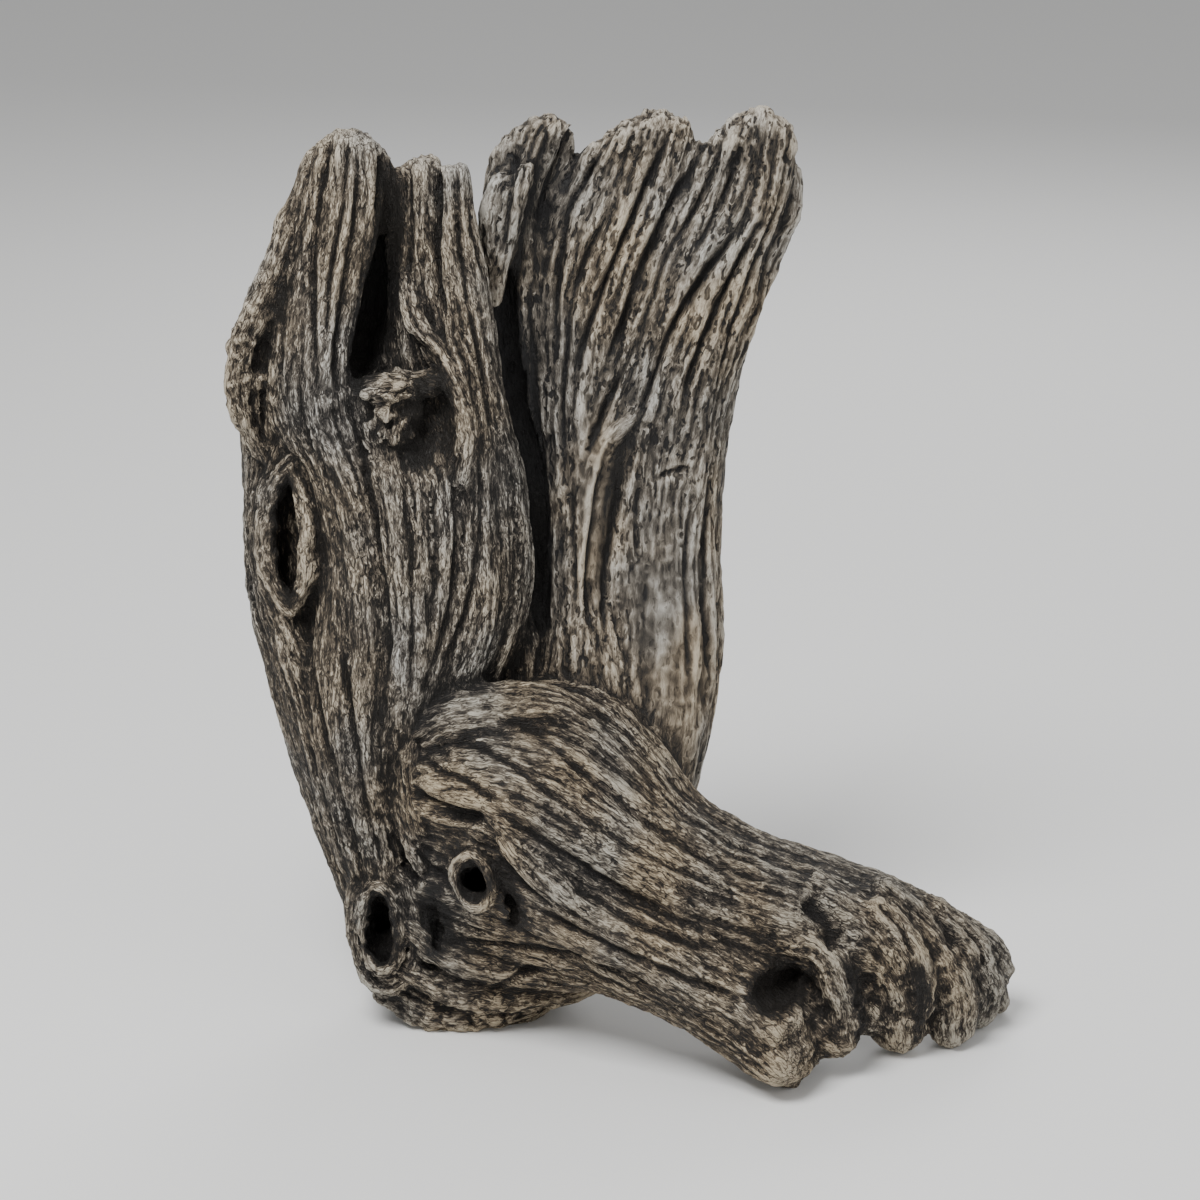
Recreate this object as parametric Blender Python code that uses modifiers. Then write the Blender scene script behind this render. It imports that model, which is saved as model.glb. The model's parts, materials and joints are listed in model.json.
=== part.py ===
"""A piece of driftwood: a ribbed trunk, a fluted slab behind it and a root foot with toes, grown in one.

The wood is a bundle of fibres that follow the grain. Each fibre is a curve with a bevel. They are fused by a
voxel Remesh, hollowed out, given burls and knot rings, and then ribbed along the grain.

Blender 4.5, metres, +Z up, X to the right and -Y towards the viewer. The origin is on the flat spot under
the heel. The tables are in millimetres.
"""

import math

import bmesh
import bpy
import numpy as np
from mathutils import Matrix, Vector, noise

NAME = "driftwood"
MM = 0.001
SEED = 7

# How the fibres are fused and thinned out
VOXEL = 2.0
SMOOTH_ROUNDS = 3
SMOOTH_SHARE = 0.5
MOST_TRIANGLES = 11600
FIBRE_SIDES = 4
PATH_STEP = 4.0
WELD = 1e-6

ROUND_END = (0.35, 0.62, 0.82, 0.94, 0.995)

# Sheets of fibres: how much each one strays from its place
SHEET_STEP = 2.0
SHEET_POINTS = 40
THINNEST, THICKEST = 0.88, 1.12
STRAY_DEPTH = 1.0
SHORTEST_END, LONGEST_END = -4.0, 0.0
END_POINTS = 8

# Rims and knobs: how uneven they are
RING_SIDES = 40
RING_LUMPS, LUMP_SHARE = 3, 0.15
KNOB_SCATTER, KNOB_REACH = 0.5, 1.0
KNOB_IN, KNOB_OUT = 2.0, -3.0
KNOB_SMALLEST, KNOB_LARGEST = 0.6, 1.3

# Ribs along the grain: spacing across, length along, and height
WIDE_RIB = (6.0, 70.0, 3.8)
FINE_RIB = (3.2, 34.0, 2.2)
RIB_LEVEL = 0.25
RIB_LIMIT = 0.5
RIB_APART, FIBRE_APART = 40, 7.3
WAVER, WAVER_SHARE = 1.5, 0.35
WAVER_ACROSS, WAVER_UP = 14, 22
GRAIN_STEP = 4.0
FIRST_SIDE = (1.0, 0.2, 0.1)
ROWS_AT_ONCE = 4000

# How the ribs' height varies from place to place
FADE_LEAST, FADE_MOST = 0.5, 1.5
FADE_PATCH = 34
NOISE_LOW, NOISE_HIGH = -0.5, 0.5

# Drawn-in grooves: how they fade at their ends and away from the front
LINE_STEP = 1.2
LINE_REACH = 4
LINE_DEEPENS = 6
END_FADE, LEAST_FADE = 6, 0.25
FRONT_GAIN, FRONT_FROM = 2.2, 0.2

# Weathered wood, as in the photo
WOOD_COLOUR = (0.30, 0.27, 0.225, 1.0)
WOOD_ROUGHNESS = 0.85

GROUND_SIZE = 0.6

# Lines that the grain follows: x, y, z and the fibre's radius at each point
GUIDES = {
    # the trunk's front, from its broken top down
    "lobe_left": ((-56, -2, 355, 7.5), (-61, -4, 333, 8.5), (-65, -6, 308, 8.5), (-69, -10, 281, 8.5),
        (-68, -12, 258, 8), (-58, -14, 238, 7), (-52, -16, 210, 6.5), (-52, -18, 178, 8),
        (-54, -18, 144, 9), (-50, -16, 109, 9), (-43, -12, 73, 8), (-36, -8, 44, 7.5)),
    "lobe_right": ((-35, -6, 358, 7), (-34, -8, 339, 7), (-41, -10, 313, 7), (-47, -14, 286, 7),
        (-46, -18, 263, 7), (-39, -22, 236, 8.5), (-32, -24, 204, 9.5), (-30, -24, 171, 9.5),
        (-32, -20, 136, 9), (-32, -14, 100, 9), (-28, -10, 63, 9), (-22, -8, 40, 9)),
    "middle_left": ((-28, -1, 355, 3.5), (-28, 1, 330, 4), (-30, 2, 306, 4.5), (-31, 1, 286, 4.5),
        (-28, -4, 270, 5), (-18, -12, 249, 5.5), (-10, -20, 227, 8), (-9, -24, 196, 9.5),
        (-12, -22, 162, 9.5), (-20, -14, 126, 9)),
    "middle_right": ((-15, -2, 357, 4), (-12, -4, 331, 4.5), (-7, -8, 308, 5.5), (-3, -12, 289, 6),
        (2, -14, 270, 6), (3, -16, 247, 7), (3, -20, 219, 8.5), (3, -22, 191, 10),
        (-4, -20, 162, 10.5), (-18, -12, 127, 9)),
    "ridge_left": ((-8, -4, 357, 3.5), (-6, -7, 331, 4.5), (-1, -9, 308, 5.5), (3, -11, 285, 5.5),
        (6, -12, 262, 6), (9, -13, 238, 6.5), (11, -14, 209, 8), (8, -14, 180, 8.5),
        (-2, -12, 155, 9.5), (-16, -8, 125, 9)),
    "ridge_right": ((0, -2, 355, 3), (2, -3, 331, 4), (6, -3, 307, 4.5), (9, -3, 283, 4.5),
        (13, -3, 259, 4.5), (18, -3, 235, 5.5), (20, -2, 206, 6), (18, -2, 181, 7), (7, -2, 153, 9),
        (-13, 0, 122, 9.5)),
    "belly_left": ((-44, -18, 255, 6), (-36, -24, 233, 8), (-29, -28, 205, 9.5), (-27, -28, 173, 9.5),
        (-29, -22, 137, 8.5), (-29, -14, 100, 8)),
    "belly_right": ((-12, -14, 250, 5.5), (-10, -24, 229, 8), (-12, -28, 197, 9.5),
        (-15, -26, 168, 9.5), (-22, -20, 136, 9), (-25, -12, 99, 8)),
    "rim_left": ((-83, 4, 239, 6), (-83, 4, 212, 7), (-83, 4, 187, 7), (-78, 4, 157, 7.5),
        (-70, 4, 123, 7.5), (-59, 4, 88, 8), (-48, 4, 53, 8), (-41, 2, 24, 8.5)),
    "rim_right": ((-72, -10, 244, 5.5), (-79, -8, 220, 4.5), (-80, -8, 195, 5), (-71, -12, 167, 6.5),
        (-63, -14, 138, 7), (-55, -14, 104, 7.5), (-47, -12, 73, 7.5), (-41, -10, 52, 6.5)),
    "shoulder_left": ((-56, 12, 345, 8), (-62, 12, 330, 8), (-70, 14, 303, 8), (-80, 12, 280, 8),
        (-83, 12, 255, 7), (-82, 10, 237, 6.5)),
    "shoulder_right": ((-51, -2, 350, 7.5), (-59, -4, 331, 8.5), (-64, -6, 304, 8.5),
        (-72, -6, 280, 8), (-75, -6, 256, 7), (-74, -6, 242, 6.5)),
    "bark_flap": ((-62, -2, 344, 4), (-68, -6, 334, 4.5), (-72, -10, 322, 5), (-79, -12, 305, 5.5),
        (-86, -12, 287, 6), (-88, -11, 271, 6), (-86, -9, 257, 5), (-82, -6, 244, 4.5)),
    "bent_ridge": ((-24, -8, 312, 2.5), (-20, -14, 297, 3.5), (-11, -19, 284, 4), (-3, -22, 270, 4.5),
        (0, -23, 254, 4.5), (-2, -25, 238, 4)),
    # the trunk's back and its inside
    "back_left": ((-53, 16, 343, 8.5), (-68, 22, 310, 10), (-79, 24, 269, 11), (-80, 26, 231, 12),
        (-78, 26, 189, 12), (-72, 22, 147, 12.5), (-62, 18, 105, 12.5), (-47, 14, 57, 11.5),
        (-36, 10, 23, 10)),
    "back_middle": ((-33, 30, 332, 9.5), (-34, 36, 278, 11), (-35, 42, 222, 13), (-32, 42, 166, 14),
        (-26, 36, 116, 14), (-18, 26, 66, 14), (-9, 18, 29, 12.5)),
    "back_right": ((-6, 14, 339, 6), (-2, 20, 298, 8.5), (2, 24, 256, 10.5), (8, 26, 218, 11.5),
        (9, 26, 180, 11.5), (4, 24, 142, 13), (1, 20, 95, 15), (2, 16, 52, 15), (6, 12, 22, 12.5)),
    "core_left": ((-43, 2, 350, 11.5), (-45, 8, 336, 14), (-48, 8, 293, 18), (-51, 8, 248, 21.5),
        (-50, 8, 203, 24), (-47, 6, 161, 23.5), (-40, 4, 119, 21), (-30, 4, 75, 19),
        (-19, 6, 29, 16.5)),
    "core_right": ((-16, 6, 349, 9.5), (-12, 8, 328, 11), (-8, 6, 293, 12.5), (-6, 6, 253, 16.5),
        (-3, 4, 212, 20), (-3, 4, 179, 21), (-10, 4, 136, 22.5), (-13, 2, 93, 23.5),
        (-10, 4, 48, 20.5)),
    # the heel that it stands on
    "heel_left": ((-34, -4, 49, 11.5), (-36, -4, 29, 12.5), (-31, -4, 17, 11.5)),
    "heel_front": ((-34, -13, 16, 8), (-18, -13, 9, 10.5), (0, -11, 7, 11.5), (19, -5, 8, 11),
        (30, 2, 14, 10)),
    "heel_fold_high": ((-24, -26, 50, 5.5), (-11, -29, 41, 8), (7, -29, 36, 9), (28, -28, 32, 9),
        (48, -26, 28, 7.5)),
    "heel_fold_low": ((-30, -22, 31, 5.5), (-13, -23, 23, 8), (7, -21, 19, 9), (27, -16, 18, 9),
        (46, -10, 18, 7.5)),
    "heel_back": ((-20, 22, 13, 17), (1, 24, 7, 18), (22, 22, 15, 16), (35, 18, 33, 17)),
    "heel_sole": ((-22, 6, 8, 12), (0, 6, 7, 13), (22, 8, 11, 12)),
    # the slab's front, from its broken top down
    "far_lobe_left": ((12, 16, 349, 5.5), (12, 17, 329, 6.5), (14, 20, 302, 7), (16, 24, 264, 8),
        (20, 28, 226, 9), (24, 28, 188, 10.5), (28, 22, 147, 12.5), (31, 14, 111, 14)),
    "far_lobe_right": ((37, 18, 361, 5.5), (29, 17, 342, 6), (25, 17, 311, 6.5), (25, 17, 274, 6.5),
        (27, 16, 238, 7), (31, 14, 201, 8), (34, 12, 168, 9.5), (36, 6, 127, 14)),
    "mid_lobe_left": ((50, 18, 358, 5), (39, 17, 334, 5.5), (32, 16, 303, 6), (32, 15, 271, 6),
        (34, 13, 239, 6), (36, 10, 206, 7), (38, 6, 174, 9), (38, 0, 138, 13.5)),
    "mid_lobe_right": ((84, 14, 367, 5.5), (78, 13, 344, 6), (68, 12, 318, 6), (58, 11, 290, 6.5),
        (52, 10, 264, 6), (48, 8, 238, 5.5), (46, 7, 207, 6), (46, 4, 174, 8), (48, 0, 138, 13)),
    "near_lobe_left": ((93, 16, 357, 5), (87, 14, 337, 5.5), (77, 12, 313, 6), (67, 11, 286, 6),
        (59, 10, 260, 5.5), (54, 9, 238, 5), (51, 8, 211, 5), (51, 6, 178, 7), (54, 0, 142, 12)),
    "near_lobe_right": ((123, 16, 366, 5.5), (120, 15, 343, 6), (111, 14, 319, 6.5),
        (103, 13, 292, 6.5), (95, 12, 265, 6.5), (91, 13, 243, 6.5), (87, 14, 218, 7),
        (85, 14, 188, 8), (86, 12, 159, 9.5), (83, 8, 126, 13), (75, 4, 97, 16.5)),
    "flat_left": ((70, 14, 242, 5), (65, 20, 220, 5.5), (63, 20, 195, 7.5), (65, 16, 166, 9.5),
        (68, 10, 134, 12), (63, 2, 98, 16.5)),
    "slab_edge": ((128, 22, 350, 3.5), (128, 22, 336, 4.5), (120, 21, 318, 5), (112, 20, 296, 5.5),
        (104, 18, 274, 5.5), (98, 17, 252, 5.5), (96, 17, 235, 5), (94, 16, 215, 5),
        (94, 16, 192, 5.5), (95, 16, 166, 5.5), (94, 15, 145, 6), (90, 13, 124, 7), (83, 10, 106, 7.5)),
    "splinter": ((23, 4, 353, 3.5), (21, 3, 345, 4.5), (18, 3, 333, 4.5), (14, 5, 316, 3.5),
        (11, 8, 299, 2.5)),
    "cleft_floor": ((18, 8, 180, 7), (20, 7, 164, 9), (20, 2, 148, 10), (18, -2, 134, 11)),
    "splinter_left": ((14, 8, 347, 4.5), (11, 7, 337, 6), (9, 8, 322, 5), (9, 9, 306, 3)),
    "pale_strand": ((76, 10, 272, 3), (66, 7, 256, 3.5), (55, 5, 245, 4), (49, 3.5, 225, 4),
        (45, 1, 197, 4), (42, -3, 169, 4)),
    # the slab's back and its inside
    "slab_back_left": ((21, 30, 344, 6.5), (18, 34, 311, 8), (20, 40, 269, 9.5), (25, 44, 226, 11.5),
        (31, 44, 174, 13), (34, 36, 125, 16), (31, 26, 75, 18.5), (18, 18, 33, 17)),
    "slab_back_right": ((123, 26, 351, 5), (117, 30, 320, 7), (103, 32, 283, 9), (94, 33, 246, 10.5),
        (89, 34, 203, 12), (87, 32, 152, 14), (81, 26, 111, 15), (67, 18, 74, 16)),
    "slab_core_1": ((36, 24, 341, 8.5), (33, 26, 301, 11), (34, 28, 255, 13), (38, 28, 205, 14.5),
        (41, 24, 155, 17), (38, 16, 106, 21.5)),
    "slab_core_2": ((68, 21, 342, 9.5), (54, 22, 298, 12), (48, 24, 256, 13), (49, 24, 215, 13.5),
        (53, 22, 164, 16.5), (52, 14, 115, 21.5)),
    "slab_core_3": ((103, 21, 346, 9.5), (91, 21, 306, 12), (81, 22, 269, 12.5), (75, 24, 231, 13),
        (74, 24, 189, 14.5), (75, 22, 147, 16.5), (67, 14, 102, 19)),
    # the foot, from the trunk out to the toes
    "foot_core": ((-13, -4, 96, 27), (16, -20, 93, 31.5), (52, -30, 79, 30.5), (84, -37, 64, 26.5),
        (116, -40, 47, 22.5), (144, -40, 37, 18.5), (167, -35, 29, 15.5)),
    "instep_far": ((-13, -4, 121, 16), (16, -6, 130, 17.5), (42, -8, 131, 18.5), (61, -14, 118, 17),
        (81, -18, 94, 16), (106, -21, 78, 15.5), (133, -23, 69, 14.5), (159, -23, 60, 14),
        (182, -20, 50, 12), (203, -10, 31, 10.5)),
    "instep_near": ((-8, -31, 111, 16.5), (12, -38, 109, 18), (36, -44, 98, 18), (62, -48, 86, 17.5),
        (88, -51, 72, 16.5), (111, -52, 63, 15), (133, -51, 55, 13.5), (152, -48, 46, 12)),
    "knuckle_side": ((12, -42, 95, 10.5), (30, -49, 84, 12.5), (52, -55, 73, 14), (76, -61, 62, 14),
        (97, -65, 51, 13.5), (115, -68, 43, 12.5)),
    "flank_upper": ((-8, -20, 67, 16), (20, -34, 65, 17.5), (48, -45, 59, 17.5), (72, -55, 50, 16.5),
        (93, -63, 39, 15), (112, -70, 29, 14), (121, -75, 20, 13.5)),
    "flank_lower": ((-1, -10, 41, 16.5), (28, -24, 41, 16), (54, -37, 40, 15.5), (76, -48, 34, 13.5),
        (96, -59, 27, 12.5), (112, -69, 19, 12.5), (123, -75, 15, 12.5)),
    "foot_underside": ((2, 4, 35, 19), (31, -8, 40, 18), (60, -20, 41, 17), (88, -30, 34, 15.5),
        (117, -37, 29, 13.5), (141, -41, 24, 11.5)),
    "knuckle": ((10, -49, 110, 3), (17, -55, 98, 4.5), (32, -62, 85, 5.5), (52, -66, 72, 6),
        (75, -69, 63, 6), (93, -70, 53, 5)),
    "fold": ((-27, -22, 143, 3.5), (-28, -26, 121, 4), (-26, -28, 97, 4), (-20, -30, 76, 3.5)),
    "instep_start": ((-20, -24, 133, 9), (-8, -27, 140, 10.5), (10, -26, 142, 11.5), (34, -20, 138, 12),
        (54, -20, 122, 11), (70, -24, 104, 9)),
    "instep_edge": ((-21, -25, 134, 6.5), (-22, -29, 121, 7), (-21, -31, 109, 6.5), (-19, -31, 96, 6)),
    "instep_lip": ((-27, -24, 120, 5), (-16, -35, 115, 5), (-2, -44, 114, 5), (10, -49, 114, 4.5)),
    # the toes
    "toe_1_tip": ((118, -70, 26, 11), (123, -69, 17, 12.5), (126, -67, 11, 12)),
    "toe_1_side": ((129, -62, 29, 10), (144, -61, 16, 9), (149, -60, 15, 6)),
    "toe_2": ((125, -59, 59, 8), (138, -62, 54, 8.5), (145, -64, 42, 8), (149, -63, 30, 7.5),
        (151, -61, 19, 6.5)),
    "toe_2_back": ((130, -50, 50, 11), (145, -52, 36, 11), (150, -50, 21, 10)),
    "toe_3_back": ((150, -44, 36, 11), (160, -44, 20, 10)),
    "toe_3": ((138, -42, 66, 13.5), (156, -45, 55, 13.5), (169, -43, 34, 12.5), (173, -38, 12.5, 12.5)),
    "toe_3_side": ((163, -46, 63, 8), (175, -50, 50, 7), (179, -48, 32, 6.5), (178, -42, 11, 5.5)),
    "toe_4": ((165, -32, 62, 12), (183, -34, 45, 11), (194, -34, 25, 11), (195, -32, 9.5, 10.5)),
    "toe_5": ((184, -24, 51, 11.5), (200, -22, 38, 10.5), (208, -18, 20, 10), (207, -15, 8, 9)),
    "toe_6": ((197, -12, 40, 10.5), (212, -8, 27, 10.5), (216, -5, 22, 7.5)),
    "toe_7": ((211, -8, 22, 7.5), (217, -3, 6, 6)),
}

# Guides that are a fibre of their own
SINGLE = (
    "bark_flap", "bent_ridge", "core_left", "core_right", "heel_left", "heel_front", "heel_back",
    "heel_sole", "heel_fold_high", "heel_fold_low", "splinter", "splinter_left", "cleft_floor",
    "pale_strand", "slab_core_1", "slab_core_2", "slab_core_3", "foot_core", "foot_underside",
    "knuckle", "fold", "instep_start", "instep_edge", "instep_lip", "toe_1_tip", "toe_1_side", "toe_2",
    "toe_2_back", "toe_3", "toe_3_back", "toe_3_side", "toe_4", "toe_5", "toe_6", "toe_7",
)

# Sheets between two guides: fibres, bulge and crown
SHEETS = (
    ("lobe_left", "lobe_right", 6, 6, 10),
    ("middle_left", "middle_right", 4, 2, 0),
    ("ridge_left", "ridge_right", 4, 3, 0),
    ("belly_left", "belly_right", 4, 3, 0),
    ("rim_left", "rim_right", 3, 1, 0),
    ("shoulder_left", "shoulder_right", 3, 2, 0),
    ("back_left", "back_middle", 6, -5, 2),
    ("back_middle", "back_right", 6, -4, 2),
    ("far_lobe_left", "far_lobe_right", 5, 1, 10),
    ("mid_lobe_left", "mid_lobe_right", 7, 1.5, 8),
    ("near_lobe_left", "near_lobe_right", 7, 1.5, 9),
    ("flat_left", "slab_edge", 5, 1, 0),
    ("slab_back_left", "slab_back_right", 11, -4, 6),
    ("instep_far", "instep_near", 5, 8, 0),
    ("knuckle_side", "flank_upper", 3, 4, 0),
    ("flank_upper", "flank_lower", 3, 3, 0),
)

# Rounded tops, laid across the ends of the fibres. The grain runs up over them
TOPS = {
    "lobe_top": ((-55, 0, 348, 8), (-51, 0, 356, 8.5), (-45, 0, 361, 8.5), (-40, 0, 360, 8.5),
        (-36, 1, 353, 7)),
    "lobe_top_back": ((-57, 11, 345, 9), (-48, 13, 352, 10), (-38, 13, 350, 9.5)),
    "far_top": ((13, 17, 348, 6), (17, 17, 357, 6.5), (26, 17, 364, 6.5), (34, 17, 366, 6.5),
        (37, 18, 361, 5.5)),
    "far_top_back": ((14, 27, 346, 6.5), (20, 26, 354, 7), (30, 26, 358, 7), (36, 26, 352, 6)),
    "mid_top": ((50, 16, 354, 6), (60, 15, 361, 6.5), (67, 15, 366, 6.5), (76, 15, 366, 6.5),
        (81, 15, 361, 6)),
    "mid_top_back": ((50, 25, 351, 6.5), (62, 24, 357, 7), (74, 24, 360, 7), (81, 25, 355, 6)),
    "near_top": ((90, 16, 347, 6), (98, 15, 355, 6.5), (105, 15, 363, 7), (115, 16, 367, 7),
        (121, 16, 364, 6.5), (123, 18, 355, 5.5)),
    "near_top_back": ((91, 25, 346, 6.5), (102, 25, 355, 7), (113, 26, 360, 7), (122, 26, 354, 6)),
}

# Slots, clefts, knot holes and gaps between toes, cut out as fibres are laid down
HOLLOWS = {
    "slot": ((-27, -11, 356, 3.5), (-29, -10, 333, 5), (-33, -9, 314, 6.5), (-36, -10, 297, 8),
        (-38, -13, 285, 8.5), (-38, -16, 277, 7)),
    "slot_in": ((-30, 0, 348, 3), (-33, 3, 328, 5), (-36, 3, 308, 7.5), (-39, 1, 292, 8.5),
        (-41, -4, 281, 7)),
    "cleft_a": ((9, 14, 339, 2), (12, 14, 315, 3.5), (16, 14, 287, 4.5), (19, 14, 259, 5),
        (24, 12, 235, 5), (28, 10, 210, 4), (30, 8, 188, 3), (29, 2, 171, 1.5)),
    "cleft_b": ((10, 26, 331, 3), (13, 28, 304, 4.5), (17, 28, 276, 5), (21, 28, 247, 5.5),
        (25, 26, 218, 5.5), (29, 20, 195, 4), (30, 14, 175, 2.5)),
    "by_splinter": ((25, 6, 342, 2), (23, 7, 329, 2.5), (19, 9, 308, 3), (16, 12, 288, 3)),
    "wedge": ((66, 0, 250, 1), (61, 1, 237, 2), (58, 0, 222, 2.8), (55, -1, 205, 2.4),
        (53, -3, 185, 1.2)),
    "eye_pit": ((-69, -17, 236, 1.5), (-71, -14, 224, 3.5), (-71, -13, 211, 4.5), (-71, -13, 198, 4),
        (-69, -16, 187, 2)),
    "eye_crack": ((-61, -26, 247, 1), (-57, -27, 234, 1.5), (-55, -26, 217, 1.5), (-56, -25, 199, 1.5),
        (-60, -22, 181, 2), (-65, -19, 162, 1)),
    "knot_pit": ((-11, -26, 276, 4), (-13, -26, 268, 6.5), (-14, -27, 259, 7), (-18, -28, 249, 5)),
    "small_hole": ((3, -57, 82, 6), (3, -46, 78, 6), (3, -36, 74, 5), (4, -28, 71, 3)),
    "low_knot": ((-37, -32, 61, 4.5), (-37, -32, 50, 6), (-36, -32, 39, 4.5)),
    "low_knot_in": ((-37, -20, 57, 5), (-38, -16, 47, 6), (-37, -20, 38, 5)),
    "niche": ((-16, -37, 67, 2.5), (-13, -37, 56, 3.5), (-13, -33, 43, 2.5)),
    "cavity": ((13, -54, 87, 2), (16, -57, 77, 3.5), (19, -58, 67, 3.5), (21, -57, 58, 2)),
    "toe_hole": ((118, -91, 51, 8.5), (120, -82, 47, 9), (123, -72, 45, 7.5), (127, -62, 43, 5)),
    "toe_gap_1": ((149, -72, 61, 2), (154, -67, 46, 4), (157, -64, 30, 4.5), (159, -61, 12, 5)),
    "toe_gap_2": ((172, -64, 53, 1.5), (179, -57, 39, 2.5), (182, -54, 25, 3.2), (183, -52, 8, 3.8)),
    "toe_gap_3": ((197, -46, 53, 1.5), (206, -39, 37, 2.5), (209, -36, 23, 3), (210, -33, 8, 3.5)),
    "fold_1": ((-25, -40, 152, 1.5), (-30, -40, 131, 2.5), (-30, -38, 101, 2.5), (-27, -36, 78, 1.5)),
    "fold_2": ((36, -10, 155, 1.5), (56, -14, 154, 2.5), (68, -16, 138, 2.5), (78, -18, 118, 2)),
    "bowl": ((-30, -12, 292, 5.5), (-21, -17, 288, 5.5), (-13, -22, 281, 4.5)),
    "flap_pit": ((-66, -18, 343, 2), (-67, -20, 339, 2.5)),
    "under_lip": ((-20, -41, 105, 2), (-9, -48, 105, 3), (3, -54, 104, 4), (10, -56, 103, 2.5)),
    "low_knot_end": ((-37, -8, 50, 4.5), (-37, -6, 42, 5)),
    "niche_in": ((-16, -30, 61, 2), (-14, -28, 51, 3), (-13, -27, 42, 2)),
    "cavity_in": ((14, -48, 81, 2), (16, -49, 72, 3), (18, -50, 63, 3)),
    "toe_hole_b": ((134, -79, 55, 3.5), (131, -78, 48, 6), (128, -70, 43, 6.5)),
}

# Rough lumps by the slot, and the lids of the eye-shaped knot, that grow back over the cut
BURLS = {
    "burl_left": ((-48, -16, 269, 4), (-40, -18, 271, 4.5), (-32, -22, 273, 5), (-26, -24, 274, 4.5)),
    "burl_low": ((-26, -18, 272, 8), (-26, -19, 262, 9), (-27, -20, 251, 7)),
    "burl_side": ((-39, -19, 267, 5), (-37, -21, 257, 5.5), (-33, -23, 247, 5)),
    "burl_right": ((-17, -20, 275, 4), (-12, -20, 275, 4.5)),
    "lid_left": ((-68, -16, 242, 3), (-75, -13, 230, 4), (-79, -11, 215, 4.5), (-80, -11, 200, 4.5),
        (-76, -13, 188, 4), (-70, -14, 180, 3.5)),
    "lid_right": ((-68, -16, 242, 2.5), (-65, -18, 232, 4), (-62, -19, 221, 5), (-62, -19, 209, 5),
        (-63, -18, 197, 4.5), (-67, -15, 184, 3)),
}

# Rims round the knots: centre, half width, half height, radius and tilt
RINGS = {
    "hole": ((2, -49.5, 79), 7.5, 11, 2.8, -0.6),
    "knot_in": ((-37, -25, 48), 8, 18, 3, -0.45),
    "knot_out": ((-35, -20, 48), 13.5, 26, 4, -0.45),
}

# Knobs strewn round a place: centre, spread across and up, how many, and radius
KNOBS = (
    ((-26, -26, 273), 12, 4, 20, 2.2),
    ((-29, -26, 260), 9, 10, 34, 2.2),
    ((-15, -22, 273), 5, 4, 10, 2.2),
    ((-84, -8, 284), 5, 22, 22, 3.4),
    ((-4, -19, 9), 26, 6, 30, 2.8),
    ((-35, -16, 20), 6, 7, 14, 2.6),
    ((151, -62, 24), 5, 9, 10, 3.6),
    ((176, -46, 22), 6, 12, 10, 3.6),
    ((124, -78, 18), 9, 7, 10, 3.4),
)

# Smoother places: centre, reach and how much of the ribs is left out
CALM = (
    ((80, 10, 165), (22, 30, 70), 0.75),
    ((175, -40, 30), (45, 40, 40), 0.5),
    ((-20, -20, 280), (16, 20, 22), 0.4),
    ((35, -40, 105), (65, 45, 40), 0.45),
)

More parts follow.
